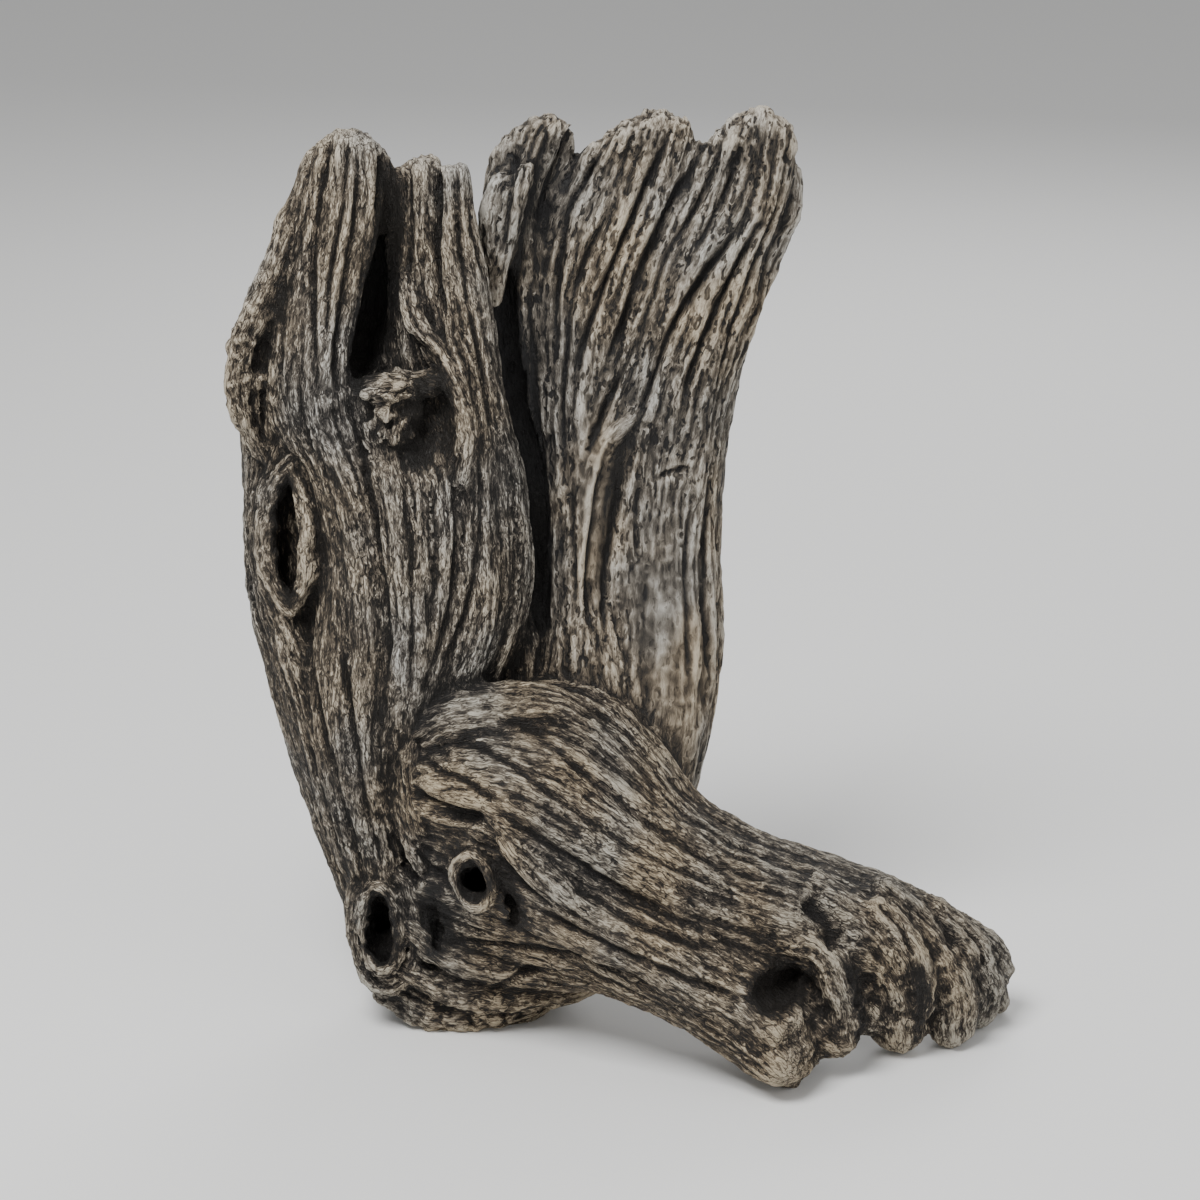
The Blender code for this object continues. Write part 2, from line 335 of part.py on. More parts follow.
# Grooves pressed into the front: depth, half width and the line that each follows
LINES = (
    # the trunk
    (4.5, 1.6, ((-11, -3, 362), (-10, -9, 343), (-11, -11, 325), (-10, -13, 309), (-5, -16, 296))),
    (3, 1.5, ((-30, -9, 365), (-31, -13, 350), (-33, -15, 339))),
    (2.6, 1.3, ((-49, -13, 370), (-54, -15, 349), (-57, -18, 326), (-58, -22, 300), (-56, -27, 270))),
    (2.6, 1.3, ((-43, -14, 371), (-46, -18, 345), (-51, -21, 315), (-53, -25, 289))),
    (2.6, 1.3, ((-38, -15, 368), (-41, -18, 338), (-46, -21, 311), (-49, -24, 288), (-49, -28, 262))),
    (2.4, 1.2, ((-3, -7, 360), (-2, -12, 332), (1, -14, 306), (7, -18, 275), (11, -20, 248))),
    (2.2, 1.2, ((-21, -5, 358), (-20, -7, 332), (-22, -7, 312))),
    (2.4, 1.3, ((5, -22, 252), (6, -28, 222), (1, -33, 191), (-11, -34, 158))),
    (2.4, 1.3, ((-4, -26, 245), (-3, -33, 215), (-7, -37, 184), (-17, -36, 155))),
    (2.2, 1.3, ((-25, -31, 243), (-21, -40, 209), (-21, -41, 177), (-23, -37, 151))),
    (2.4, 1.3, ((-40, -28, 254), (-35, -35, 224), (-31, -38, 192), (-31, -37, 159))),
    (2.4, 1.4, ((-50, -32, 174), (-46, -33, 141), (-42, -30, 106), (-35, -26, 74))),
    (2.4, 1.4, ((-63, -19, 165), (-58, -26, 134), (-50, -26, 96), (-44, -24, 65))),
    (2.2, 1.3, ((-73, -18, 165), (-67, -20, 136), (-60, -20, 102), (-51, -18, 71))),
    # the slab
    (4.5, 1.7, ((109, 8, 334), (99, 6, 320), (90, 6, 307), (79, 5, 287), (71, 2, 265), (66, 1, 250))),
    (4, 1.6, ((78, 10, 365), (69, 8, 343), (59, 7, 319), (52, 7, 303), (46, 6, 287), (42, 5, 269))),
    (4, 1.6, ((113, 8, 330), (103, 6, 309), (97, 6, 296), (88, 5, 273), (84, 5, 257))),
    (3.2, 1.5, ((125, 10, 359), (122, 8, 338), (115, 8, 321), (108, 6, 301), (102, 5, 281), (98, 5, 261))),
    (3.5, 1.5, ((91, 14, 359), (83, 8, 344), (76, 7, 331), (68, 6, 313), (61, 5, 293), (54, 5, 273))),
    (5, 2.2, ((43, 16, 367), (37, 14, 355), (32, 12, 343), (29, 12, 328))),
    (2.8, 1.4, ((57, 14, 366), (47, 12, 349), (40, 12, 337), (36, 10, 316), (34, 9, 289))),
    (2.8, 1.4, ((57, 8, 337), (48, 8, 321), (41, 8, 301), (39, 7, 281), (37, 6, 253), (39, 2, 221))),
    (2.6, 1.3, ((100, 11, 365), (93, 10, 346), (87, 8, 334), (78, 8, 319), (72, 7, 301), (65, 6, 281))),
    (2.4, 1.3, ((109, 10, 367), (102, 8, 346), (95, 8, 332), (87, 7, 317))),
    (3, 1.4, ((68, 6, 289), (59, 6, 269), (52, 4, 253), (48, 1, 242))),
    (3, 1.4, ((55, 0, 240), (51, 0, 222), (48, -2, 197), (47, -6, 169))),
    (2.2, 1.2, ((41, 3, 229), (41, 0, 205), (42, -5, 178))),
    (3.2, 1.5, ((61, 4, 233), (57, 4, 212), (54, 1, 188), (54, -4, 165))),
    (1.6, 0.9, ((68, 5, 229), (66, 4, 208), (68, 3, 192))),
    (1.8, 1, ((74, 5, 229), (81, 6, 232), (88, 6, 233))),
    (1.6, 1, ((68, 2, 251), (73, 4, 251))),
    (2.8, 1.4, ((97, 9, 231), (94, 9, 202), (94, 7, 178), (95, 3, 154), (92, -4, 126))),
    (2.2, 1.3, ((89, 6, 220), (86, 5, 195), (87, 3, 171), (88, -2, 143))),
    (2.4, 1.3, ((21, 10, 359), (17, 0, 346), (15, 1, 322))),
    (2.2, 1.2, ((31, 12, 371), (24, 3, 355), (21, 0, 334))),
    (2.4, 1.3, ((25, 11, 300), (26, 11, 268), (28, 9, 235), (32, 4, 204))),
    # the foot
    (5, 3, ((-24, -40, 113), (-15, -46, 110), (-3, -50, 107), (8, -54, 108))),
    (3.4, 2, ((13, -54, 110), (25, -57, 103), (40, -60, 94), (56, -63, 84), (71, -68, 76), (91, -70, 67))),
    (1.8, 1.5, ((-11, -31, 134), (13, -48, 130), (36, -57, 117), (60, -60, 101), (83, -62, 89),
        (107, -62, 79))),
    (1.8, 1.5, ((4, -19, 144), (28, -40, 137), (52, -51, 120), (75, -54, 103), (99, -54, 89),
        (123, -57, 79))),
    (1.8, 1.5, ((36, -16, 150), (56, -31, 136), (72, -40, 119), (92, -40, 102), (115, -42, 89))),
    (5.5, 4, ((132, -55, 76), (140, -60, 68), (148, -67, 58))),
    (3.4, 2, ((25, -62, 74), (44, -69, 65), (68, -76, 57), (91, -81, 49), (110, -85, 44))),
    (3, 1.8, ((-8, -33, 46), (12, -45, 48), (36, -59, 51), (60, -70, 48), (83, -78, 39))),
    (3.5, 1.8, ((160, -48, 72), (171, -54, 63), (176, -57, 48))),
    (3.5, 1.8, ((178, -40, 64), (190, -40, 54), (197, -42, 42))),
    (3, 1.6, ((199, -30, 52), (207, -29, 43), (210, -29, 29))),
    (2.4, 1.6, ((-19, -38, 126), (-3, -49, 122), (13, -54, 115))),
    (2.4, 1.5, ((36, -66, 87), (60, -71, 74), (83, -74, 65), (103, -73, 60))),
    # the heel
    (3, 2, ((-14, -16, 19), (3, -13, 21), (24, -43, 36), (36, -52, 38))),
)


def clear_scene():
    for obj in list(bpy.data.objects):
        bpy.data.objects.remove(obj)


def mixed(at, start, end, first, last):
    return first + (last - first) * (at - start) / (end - start)


def smooth_path(points, step=PATH_STEP):
    """Points along a smooth curve through the given ones (a centripetal Catmull-Rom spline)."""
    inner = np.array(points, float)
    path = np.vstack([2 * inner[0] - inner[1], inner, 2 * inner[-1] - inner[-2]])
    lengths = np.linalg.norm(np.diff(path[:, :3], axis=0), axis=1)
    knot = np.concatenate([[0.0], np.cumsum(np.sqrt(lengths))])
    found = []
    for i in range(1, len(path) - 2):
        count = max(2, math.ceil(lengths[i] / step))
        for t in np.linspace(knot[i], knot[i + 1], count, endpoint=False):
            a = [mixed(t, knot[j], knot[j + 1], path[j], path[j + 1]) for j in (i - 1, i, i + 1)]
            b = [mixed(t, knot[i + j - 1], knot[i + j + 1], a[j], a[j + 1]) for j in (0, 1)]
            found.append(mixed(t, knot[i], knot[i + 1], b[0], b[1]))
    return np.array([*found, inner[-1]])


def evenly(path, count):
    """The path with this many points, the same distance apart."""
    run = np.concatenate([[0.0], np.cumsum(np.linalg.norm(np.diff(path[:, :3], axis=0), axis=1))])
    wanted = np.linspace(0, run[-1], count)
    return np.stack([np.interp(wanted, run, column) for column in path.T], axis=1), wanted


def sheet(left, right, count, bulge, crown, rng, skip):
    """Fibres side by side between two guides, bulging towards the viewer, with a crown of uneven ends.

    The first fibres, as many as the skip says, are left out: another sheet has laid them.
    """
    first, _ = evenly(smooth_path(GUIDES[left], SHEET_STEP), SHEET_POINTS)
    last, _ = evenly(smooth_path(GUIDES[right], SHEET_STEP), SHEET_POINTS)
    near_end = np.clip(1 - np.arange(SHEET_POINTS) / END_POINTS, 0, 1)[:, None]
    fibres = []
    for share in np.linspace(0, 1, count)[skip:]:
        path = first * (1 - share) + last * share
        hump = 4 * share * (1 - share)
        path[:, 1] -= bulge * hump
        path[:, 3] *= rng.uniform(THINNEST, THICKEST)
        path[:, 1] += rng.uniform(-STRAY_DEPTH, STRAY_DEPTH)
        outwards = path[0, :3] - path[3, :3]
        outwards /= np.linalg.norm(outwards)
        longer = crown * hump + rng.uniform(SHORTEST_END, LONGEST_END)
        path[:, :3] += outwards * longer * near_end
        fibres.append(path)
    return fibres


def all_fibres():
    rng = np.random.default_rng(SEED)
    fibres = [smooth_path(GUIDES[name]) for name in SINGLE]
    laid = set()
    for left, right, count, bulge, crown in SHEETS:
        fibres += sheet(left, right, count, bulge, crown, rng, int(left in laid))
        laid |= {left, right}
    return fibres


def ring_path(centre, half_width, half_height, radius, tilt):
    """A closed loop round a knot. The tilt is how far it comes forward per millimetre to the left."""
    path = []
    for turn in np.linspace(0, 2 * math.pi, RING_SIDES, endpoint=False):
        across = half_width * math.cos(turn)
        up = half_height * math.sin(turn)
        uneven = 1 + LUMP_SHARE * math.sin(RING_LUMPS * turn)
        path.append((centre[0] + across, centre[1] + tilt * across, centre[2] + up, radius * uneven))
    return np.array(path)


def knob_balls():
    """Small balls strewn round each burl: centre and radius."""
    rng = np.random.default_rng(SEED)
    balls = []
    for centre, spread_x, spread_z, count, radius in KNOBS:
        for _ in range(count):
            x, z = np.clip(rng.normal(0, KNOB_SCATTER, 2), -KNOB_REACH, KNOB_REACH)
            place = np.array(centre) + (spread_x * x, rng.uniform(KNOB_OUT, KNOB_IN), spread_z * z)
            balls.append((place, radius * rng.uniform(KNOB_SMALLEST, KNOB_LARGEST)))
    return balls


def rounded_ends(path):
    """The path with a half-ball added at each end."""

    def ball(end, inner):
        outwards = (end[:3] - inner[:3]) / np.linalg.norm(end[:3] - inner[:3])
        return [
            np.append(end[:3] + outwards * end[3] * share, end[3] * math.sqrt(1 - share**2))
            for share in ROUND_END
        ]

    return np.vstack([ball(path[0], path[1])[::-1], path, ball(path[-1], path[-2])])


def tube(path, closed=False):
    """A curve object along the path, with the path's own radius at each point."""
    if not closed:
        path = rounded_ends(path)
    curve = bpy.data.curves.new("fibre", "CURVE")
    curve.dimensions = "3D"
    spline = curve.splines.new("POLY")
    spline.points.add(len(path) - 1)
    spline.points.foreach_set("co", np.c_[path[:, :3] * MM, np.ones(len(path))].ravel())
    spline.points.foreach_set("radius", path[:, 3] * MM)
    spline.use_cyclic_u = closed
    curve.bevel_depth = 1.0
    curve.bevel_resolution = FIBRE_SIDES
    curve.use_fill_caps = not closed
    obj = bpy.data.objects.new("fibre", curve)
    bpy.context.scene.collection.objects.link(obj)
    return obj


def evaluated_mesh(obj):
    bpy.context.view_layer.update()
    graph = bpy.context.evaluated_depsgraph_get()
    return bpy.data.meshes.new_from_object(obj.evaluated_get(graph))


def baked(obj):
    """Replaces the object's mesh by what its modifiers make of it."""
    mesh = evaluated_mesh(obj)
    obj.modifiers.clear()
    obj.data = mesh
    return mesh


def add_remesh(obj, voxel):
    remesh = obj.modifiers.new("fuse", "REMESH")
    remesh.mode = "VOXEL"
    remesh.voxel_size = voxel * MM


def fused(name, tubes, balls=(), base=None, voxel=VOXEL):
    """One object from the tubes, the balls and the mesh of another object, fused on a voxel grid."""
    joined = bmesh.new()
    if base:
        joined.from_mesh(base.data)
        bpy.data.objects.remove(base)
    bpy.context.view_layer.update()
    for obj in tubes:
        welded = bmesh.new()
        welded.from_mesh(evaluated_mesh(obj))
        welded.transform(obj.matrix_world)
        bmesh.ops.remove_doubles(welded, verts=welded.verts, dist=WELD)
        mesh = bpy.data.meshes.new("fibre")
        welded.to_mesh(mesh)
        welded.free()
        joined.from_mesh(mesh)
        bpy.data.objects.remove(obj)
    for place, radius in balls:
        at = Matrix.Translation(Vector(place) * MM)
        bmesh.ops.create_icosphere(joined, subdivisions=2, radius=radius * MM, matrix=at)
    mesh = bpy.data.meshes.new(name)
    joined.to_mesh(mesh)
    joined.free()
    whole = bpy.data.objects.new(name, mesh)
    bpy.context.scene.collection.objects.link(whole)
    add_remesh(whole, voxel)
    baked(whole)
    return whole


def keep_largest(mesh):
    """Deletes every loose shell but the largest, such as the walls of a space shut inside the wood."""
    edges = read(mesh.edges, "vertices", 2, np.int32)
    shell = np.arange(len(mesh.vertices))
    while True:
        lowest = shell.copy()
        np.minimum.at(lowest, edges[:, 0], shell[edges[:, 1]])
        np.minimum.at(lowest, edges[:, 1], shell[edges[:, 0]])
        lowest = lowest[lowest]
        if (lowest == shell).all():
            break
        shell = lowest
    largest = np.bincount(shell).argmax()
    shaped = bmesh.new()
    shaped.from_mesh(mesh)
    loose = [vert for vert, group in zip(shaped.verts, shell) if group != largest]
    bmesh.ops.delete(shaped, geom=loose, context="VERTS")
    shaped.to_mesh(mesh)
    shaped.free()


def read(items, name, width, kind=np.float32):
    """An attribute of all vertices, edges or faces as an array with this many columns."""
    values = np.empty(len(items) * width, kind)
    items.foreach_get(name, values)
    return values.reshape(-1, width)


def grain_frames(fibres):
    """Points along every fibre, each with its direction, two directions across and the length run."""
    rows = []
    for number, fibre in enumerate(fibres):
        length = np.linalg.norm(np.diff(fibre[:, :3], axis=0), axis=1).sum()
        path, run = evenly(fibre, max(4, int(length / GRAIN_STEP)))
        along = np.gradient(path[:, :3], axis=0)
        along /= np.linalg.norm(along, axis=1)[:, None]
        side = np.array(FIRST_SIDE)
        sides = []
        for direction in along:
            side = side - direction * (side @ direction)
            side /= np.linalg.norm(side)
            sides.append(side)
        sides = np.array(sides)
        rows.append(np.c_[path, along, sides, np.cross(along, sides), run, np.full(len(run), number)])
    return np.vstack(rows)


def grain_at(points, frames):
    """For each point: two distances across the grain, the length along it, and the number of its fibre."""
    nearest = np.empty(len(points), int)
    weight = (frames[:, :3] ** 2).sum(1) - frames[:, 3] ** 2
    for i in range(0, len(points), ROWS_AT_ONCE):
        some = points[i : i + ROWS_AT_ONCE]
        nearest[i : i + ROWS_AT_ONCE] = np.argmin(weight - 2 * some @ frames[:, :3].T, axis=1)
    frame = frames[nearest]
    offset = points - frame[:, :3]
    along = (offset * frame[:, 4:7]).sum(1) + frame[:, 13]
    return np.c_[(offset * frame[:, 7:10]).sum(1), (offset * frame[:, 10:13]).sum(1), along, frame[:, 14]]


def liveliness(points):
    """How high the ribs are at each point, as a share: less in the smoother places."""
    share = np.ones(len(points))
    for centre, reach, left_out in CALM:
        share *= 1 - left_out * np.exp(-(((points - centre) / reach) ** 2).sum(1))
    for i, point in enumerate(points / FADE_PATCH):
        share[i] *= mixed(noise.noise(point), NOISE_LOW, NOISE_HIGH, FADE_LEAST, FADE_MOST)
    return share


def rib_height(points, grain):
    """Rounded ribs with sharp valleys between them, drawn out along the grain."""
    heights = np.empty(len(points))
    for i, ((x, y, z), (a, b, s, fibre)) in enumerate(zip(points, grain)):
        waver = WAVER * noise.noise((x / WAVER_ACROSS, y / WAVER_ACROSS, z / WAVER_UP))
        total = 0.0
        for order, (spacing, length, height) in enumerate((WIDE_RIB, FINE_RIB)):
            across = a / spacing + WAVER_SHARE * waver + RIB_APART * order
            at = (across, b / spacing + FIBRE_APART * fibre, s / length)
            total += height * (min(abs(noise.noise(at)), RIB_LIMIT) - RIB_LEVEL)
        heights[i] = total
    return heights * liveliness(points)


def line_depth(points, normals):
    """How deep the drawn-in grooves press into the front at each point."""
    depth = np.zeros(len(points))
    facing = np.clip(-FRONT_GAIN * normals[:, 1] - FRONT_FROM, 0, 1)
    squash = np.array([1.0, 1 / LINE_DEEPENS, 1.0])
    for deep, half_width, corners in LINES:
        line = smooth_path(corners, LINE_STEP)
        reach = LINE_REACH * half_width
        low = line.min(0) - (reach, LINE_DEEPENS * reach, reach)
        high = line.max(0) + (reach, LINE_DEEPENS * reach, reach)
        near = np.flatnonzero(((points > low) & (points < high)).all(1))
        if not len(near):
            continue
        gaps = (((points[near, None] - line[None]) * squash) ** 2).sum(2)
        share = gaps.argmin(1) / (len(line) - 1)
        taper = np.clip(END_FADE * np.minimum(share, 1 - share), LEAST_FADE, 1)
        dent = deep * taper * np.exp(-gaps.min(1) / half_width**2)
        depth[near] = np.maximum(depth[near], dent)
    return depth * facing


def evened(values, edges, share=0.5):
    """The values moved part of the way to the mean of their neighbours."""
    total = np.bincount(edges[:, 0], values[edges[:, 1]], len(values))
    total += np.bincount(edges[:, 1], values[edges[:, 0]], len(values))
    return values * (1 - share) + share * total / np.bincount(edges.ravel(), minlength=len(values))


def carve_grain(mesh, fibres):
    """Moves each vertex along its normal by the ribs and the grooves."""
    points = read(mesh.vertices, "co", 3).astype(float) / MM
    normals = read(mesh.vertex_normals, "vector", 3)
    edges = read(mesh.edges, "vertices", 2, np.int32)
    grain = grain_at(points, grain_frames(fibres))
    height = evened(rib_height(points, grain), edges) - line_depth(points, normals)
    points += normals * height[:, None]
    mesh.vertices.foreach_set("co", (points * MM).astype(np.float32).ravel())
    mesh.update()


def wood_material():
    material = bpy.data.materials.new("weathered_wood")
    material.use_nodes = True
    shader = material.node_tree.nodes["Principled BSDF"]
    shader.inputs["Base Color"].default_value = WOOD_COLOUR
    shader.inputs["Roughness"].default_value = WOOD_ROUGHNESS
    shader.inputs["Metallic"].default_value = 0.0
    return material


def ground_cutter():
    """A hidden block under z = 0. It cuts the flat spots that the wood rests on."""
    helpers = bpy.data.collections.new("cutters")
    bpy.context.scene.collection.children.link(helpers)
    bpy.ops.mesh.primitive_cube_add(size=GROUND_SIZE, location=(0, 0, -GROUND_SIZE / 2))
    ground = bpy.context.active_object
    ground.name = "ground"
    for holder in list(ground.users_collection):
        holder.objects.unlink(ground)
    helpers.objects.link(ground)
    ground.hide_render = True
    ground.display_type = "WIRE"
    return ground


def hollowed(body, hollows):
    cut = body.modifiers.new("hollows", "BOOLEAN")
    cut.operation = "DIFFERENCE"
    cut.solver = "EXACT"
    cut.object = hollows
    baked(body)
    bpy.data.objects.remove(hollows)
    return body


def driftwood():
    fibres = all_fibres()
    tops = [smooth_path(points) for points in TOPS.values()]
    body = fused("body", [tube(path) for path in fibres + tops])
    hollows = fused("hollows", [tube(smooth_path(points)) for points in HOLLOWS.values()])
    body = hollowed(body, hollows)
    burls = [smooth_path(points) for points in BURLS.values()]
    rings = [ring_path(*ring) for ring in RINGS.values()]
    added = [tube(path) for path in burls] + [tube(path, closed=True) for path in rings]
    wood = fused(NAME, added, knob_balls(), base=body)
    smooth = wood.modifiers.new("smooth", "SMOOTH")
    smooth.factor = SMOOTH_SHARE
    smooth.iterations = SMOOTH_ROUNDS
    mesh = baked(wood)
    keep_largest(mesh)
    carve_grain(mesh, fibres + burls + [np.vstack([ring, ring[:1]]) for ring in rings])

    thin = wood.modifiers.new("thin", "DECIMATE")
    thin.ratio = MOST_TRIANGLES / (2 * len(mesh.polygons))
    foot = wood.modifiers.new("ground", "BOOLEAN")
    foot.operation = "DIFFERENCE"
    foot.solver = "EXACT"
    foot.object = ground_cutter()

    wood.data.name = NAME
    wood.data.materials.clear()
    wood.data.materials.append(wood_material())
    home = bpy.data.collections.new("piece_of_driftwood")
    bpy.context.scene.collection.children.link(home)
    bpy.context.scene.collection.objects.unlink(wood)
    home.objects.link(wood)
    return wood


clear_scene()
driftwood()
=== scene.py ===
"""The piece of driftwood as seen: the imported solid's fibres, fused finer, with the grain and the weathering.

The tables and the first functions are those of the solid, so the two have the same shape. The tables are in
millimetres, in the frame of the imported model: +Z up, X to the right and -Y towards the viewer.
"""

import json
import math

import bmesh
import bpy
import numpy as np
from mathutils import Matrix, Vector, noise

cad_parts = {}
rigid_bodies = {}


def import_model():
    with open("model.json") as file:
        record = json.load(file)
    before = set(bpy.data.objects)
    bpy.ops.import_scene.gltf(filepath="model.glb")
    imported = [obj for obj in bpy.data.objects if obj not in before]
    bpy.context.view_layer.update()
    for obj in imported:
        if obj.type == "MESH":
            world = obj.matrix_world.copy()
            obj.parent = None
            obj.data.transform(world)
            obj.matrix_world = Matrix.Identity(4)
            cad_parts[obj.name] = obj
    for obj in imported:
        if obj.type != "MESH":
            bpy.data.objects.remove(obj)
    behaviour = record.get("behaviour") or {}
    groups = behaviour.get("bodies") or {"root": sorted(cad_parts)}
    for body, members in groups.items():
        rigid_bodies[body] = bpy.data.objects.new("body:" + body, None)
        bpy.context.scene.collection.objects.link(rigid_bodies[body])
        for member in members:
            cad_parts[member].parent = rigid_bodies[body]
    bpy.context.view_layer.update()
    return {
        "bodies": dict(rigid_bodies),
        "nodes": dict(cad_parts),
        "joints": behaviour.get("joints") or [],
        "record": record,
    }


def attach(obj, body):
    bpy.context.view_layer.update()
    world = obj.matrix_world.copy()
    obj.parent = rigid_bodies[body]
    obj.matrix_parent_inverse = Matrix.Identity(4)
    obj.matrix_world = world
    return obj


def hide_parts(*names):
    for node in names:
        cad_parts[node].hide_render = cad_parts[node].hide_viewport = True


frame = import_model()

MM = 0.001
SEED = 7

# How the fibres are fused, and how finely the skin is drawn
VOXEL = 2.0
SKIN_VOXEL = 1.25
SMOOTH_ROUNDS = 8
SMOOTH_SHARE = 0.5
MOST_TRIANGLES = 194000
FIBRE_SIDES = 4
PATH_STEP = 4.0
WELD = 1e-6
ROUND_END = (0.35, 0.62, 0.82, 0.94, 0.995)

# Sheets of fibres: how much each one strays from its place
SHEET_STEP = 2.0
SHEET_POINTS = 40
THINNEST, THICKEST = 0.88, 1.12
STRAY_DEPTH = 1.0
SHORTEST_END, LONGEST_END = -4.0, 0.0
END_POINTS = 8

# Rims and knobs: how uneven they are
RING_SIDES = 40
RING_LUMPS, LUMP_SHARE = 3, 0.15
KNOB_SCATTER, KNOB_REACH = 0.5, 1.0
KNOB_IN, KNOB_OUT = 2.0, -3.0
KNOB_SMALLEST, KNOB_LARGEST = 0.6, 1.3

# How the ribs are drawn out along the grain
RIB_LEVEL = 0.25
RIB_LIMIT = 0.5
RIB_APART, FIBRE_APART = 40, 7.3
WAVER, WAVER_SHARE = 1.5, 0.35
WAVER_ACROSS, WAVER_UP = 14, 22
GRAIN_STEP, FEWEST_STEPS = 4.0, 4
FIRST_SIDE = (1.0, 0.2, 0.1)
ROWS_AT_ONCE = 4000

# How the ribs' height varies from place to place
FADE_LEAST, FADE_MOST = 0.5, 1.5
FADE_PATCH = 34
NOISE_LOW, NOISE_HIGH = -0.5, 0.5

# Drawn-in grooves: how they fade at their ends and away from the front
LINE_STEP = 1.2
LINE_REACH = 4
LINE_DEEPENS = 6
END_FADE, LEAST_FADE = 6, 0.25
FRONT_GAIN, FRONT_FROM = 2.2, 0.2

# Ribs of the skin, lower and finer than the part's: spacing across, length along, and height
SKIN_RIBS = ((6.0, 60.0, 2.3), (3.0, 26.0, 1.8), (1.8, 12.0, 0.9))

# Lumps that don't follow the grain: size and height, and the places where they are higher
LUMPS = ((9.0, 0.6), (4.2, 0.5), (2.4, 0.3))
ROUGH_LEAST = 0.6
ROUGH = (
    ((-26, -24, 263), (16, 20, 16), 3.0),
    ((-84, -8, 288), (12, 20, 40), 2.6),
    ((-71, -12, 210), (14, 20, 40), 1.6),
    ((-37, -22, 46), (20, 20, 34), 1.6),
    ((0, -18, 8), (40, 30, 14), 2.6),
    ((-20, -20, 90), (40, 40, 60), 0.8),
    ((150, -60, 30), (36, 30, 30), 2.0),
    ((195, -25, 30), (30, 40, 30), 1.4),
    ((60, -50, 70), (60, 40, 40), 0.6),
)

# The camera: as high and as far off as the photo's, with a long lens
CAMERA_TARGET = (0.052, 0.0, 0.180)
CAMERA_DISTANCE = 1.3
CAMERA_HEIGHT = math.radians(18)
CAMERA_LENS, CAMERA_SENSOR = 97.5, 36

# Which guides are in the slab and in the foot. The others are in the trunk
SLAB_WORDS = ("far_lobe", "mid_lobe", "near_lobe", "flat_left", "slab", "splinter", "pale_strand")
FOOT_WORDS = ("foot", "instep", "knuckle", "flank", "toe", "heel")

# What the material reads
FIBRE_OFFSET = 31.7
# How sunk the skin is below its neighbours, for painted shade in its hollows: rounds of smoothing, limit and
# share
SUNK_SCALES = ((3, 0.25, 0.35), (14, 1.0, 0.4), (70, 4.0, 0.45))
PLACE_ROUNDS = 30
LOW_TRUNK_TOP = 110.0
# Painted shade deep in the slots, clefts and holes: how far it reaches, where it starts, and the hollows that
# get none
HOLLOW_SHADE_REACH, HOLLOW_SHADE_START = 3.0, 1.25
UNSHADED_HOLLOWS = ("bowl", "flap_pit", "under_lip", "fold_1", "fold_2", "by_splinter", "eye_crack")

# Paler and darker places, partly painted light: the slab is painted darker beside the cleft, where the trunk's
# shadow falls, and paler on its right, which faces the light; the other spots are the wood's own tone. Centre,
# reach and how much paler
SHADES = (
    ((78, 0, 165), (26, 60, 80), 1.25),
    ((49, 0, 225), (9, 40, 50), 0.7),
    ((108, 0, 300), (22, 60, 75), 0.35),
    ((22, 10, 290), (18, 60, 110), -0.5),
    ((-80, 0, 250), (22, 80, 110), -0.15),
    ((-45, 0, 80), (40, 80, 60), -0.3),
    ((-26, -26, 262), (14, 16, 12), -0.5),
    ((170, -40, 30), (50, 50, 40), 0.4),
)

# Pale places of the slab with hardly any grain: centre and reach
PLAIN = (
    ((80, 10, 165), (22, 30, 62)),
    ((50, 0, 222), (9, 30, 45)),
)

# The wood's colours from the bottom of a crack to a bleached ridge, on the trunk, the slab and the foot
TONES = (-0.09, 0.045, 0.14, 0.22, 0.36)
TRUNK_COLOURS = ((0.01, 0.0085, 0.007), (0.055, 0.046, 0.037), (0.130, 0.111, 0.089),
    (0.245, 0.215, 0.174), (0.51, 0.465, 0.39))
SLAB_COLOURS = ((0.01, 0.0088, 0.008), (0.058, 0.048, 0.037), (0.132, 0.111, 0.086),
    (0.245, 0.213, 0.170), (0.50, 0.455, 0.38))
FOOT_COLOURS = ((0.01, 0.0082, 0.0068), (0.055, 0.044, 0.034), (0.128, 0.105, 0.078),
    (0.235, 0.198, 0.148), (0.45, 0.395, 0.305))

COOL, WARM = (0.93, 0.99, 1.08, 1), (1.06, 1.0, 0.90, 1)

# The grain is pushed about, so that no streak runs straight for long: the noise's scale, and millimetres
PUSH_SCALE = 210.0
PUSH = (2.4, 2.4, 7.0)

# Noises in the grain, per millimetre, and in place, per metre: scales, detail, roughness, distortion
GRAIN_NOISES = {
    "hair": ((2.8, 2.8, 0.5), 1.0, 0.5),
    "streak": ((1.35, 1.35, 0.22), 2.0, 0.6),
    "band": ((0.40, 0.40, 0.05), 2.0),
    "dash": ((0.5, 0.5, 0.15), 1.0),
}
PLACE_NOISES = {
    "patch": ((46, 46, 26), 3.0, 0.6, 0.3),
    "speck": ((700, 700, 500), 2.0, 0.6),
    "tint": ((24, 24, 18), 2.0, 0.5),
}
CRACK_CELLS, CRACK_WIDTH = (0.42, 0.42, 0.085), 0.09

# Where in its noise each of these sets in, and how much is left of the slab's and the calm places' grain
CRACKED, DASHED, TINTED, CALMED = (0.36, 0.56), (0.57, 0.64), (0.35, 0.65), (0.15, 0.8)
SLAB_RELIEF, CALM_RELIEF, CALM_TONE = 0.45, 0.6, 0.5

# How much each layer raises the tone, counted from which level
SHARES = {
    "streak": (0.80, 0.5), "hair": (0.50, 0.5), "band": (0.35, 0.5), "crack": (-0.20, 0.2),
    "dash": (-0.22, 0.25), "patch": (0.30, 0.5), "speck": (0.10, 0.5), "slab": (0.03, 1.0),
    # The sunk and hollow layers paint shade; the shade layer is partly painted light
    "sunk": (-0.24,), "shade": (0.10,), "hollow_shade": (-0.36,),
}
ROUGHENED = (-0.12, 0.10, 0.60, 0.88)
SHINE = 0.30
BUMP, BUMP_RANGE = 0.0009, (-0.25, 0.25)

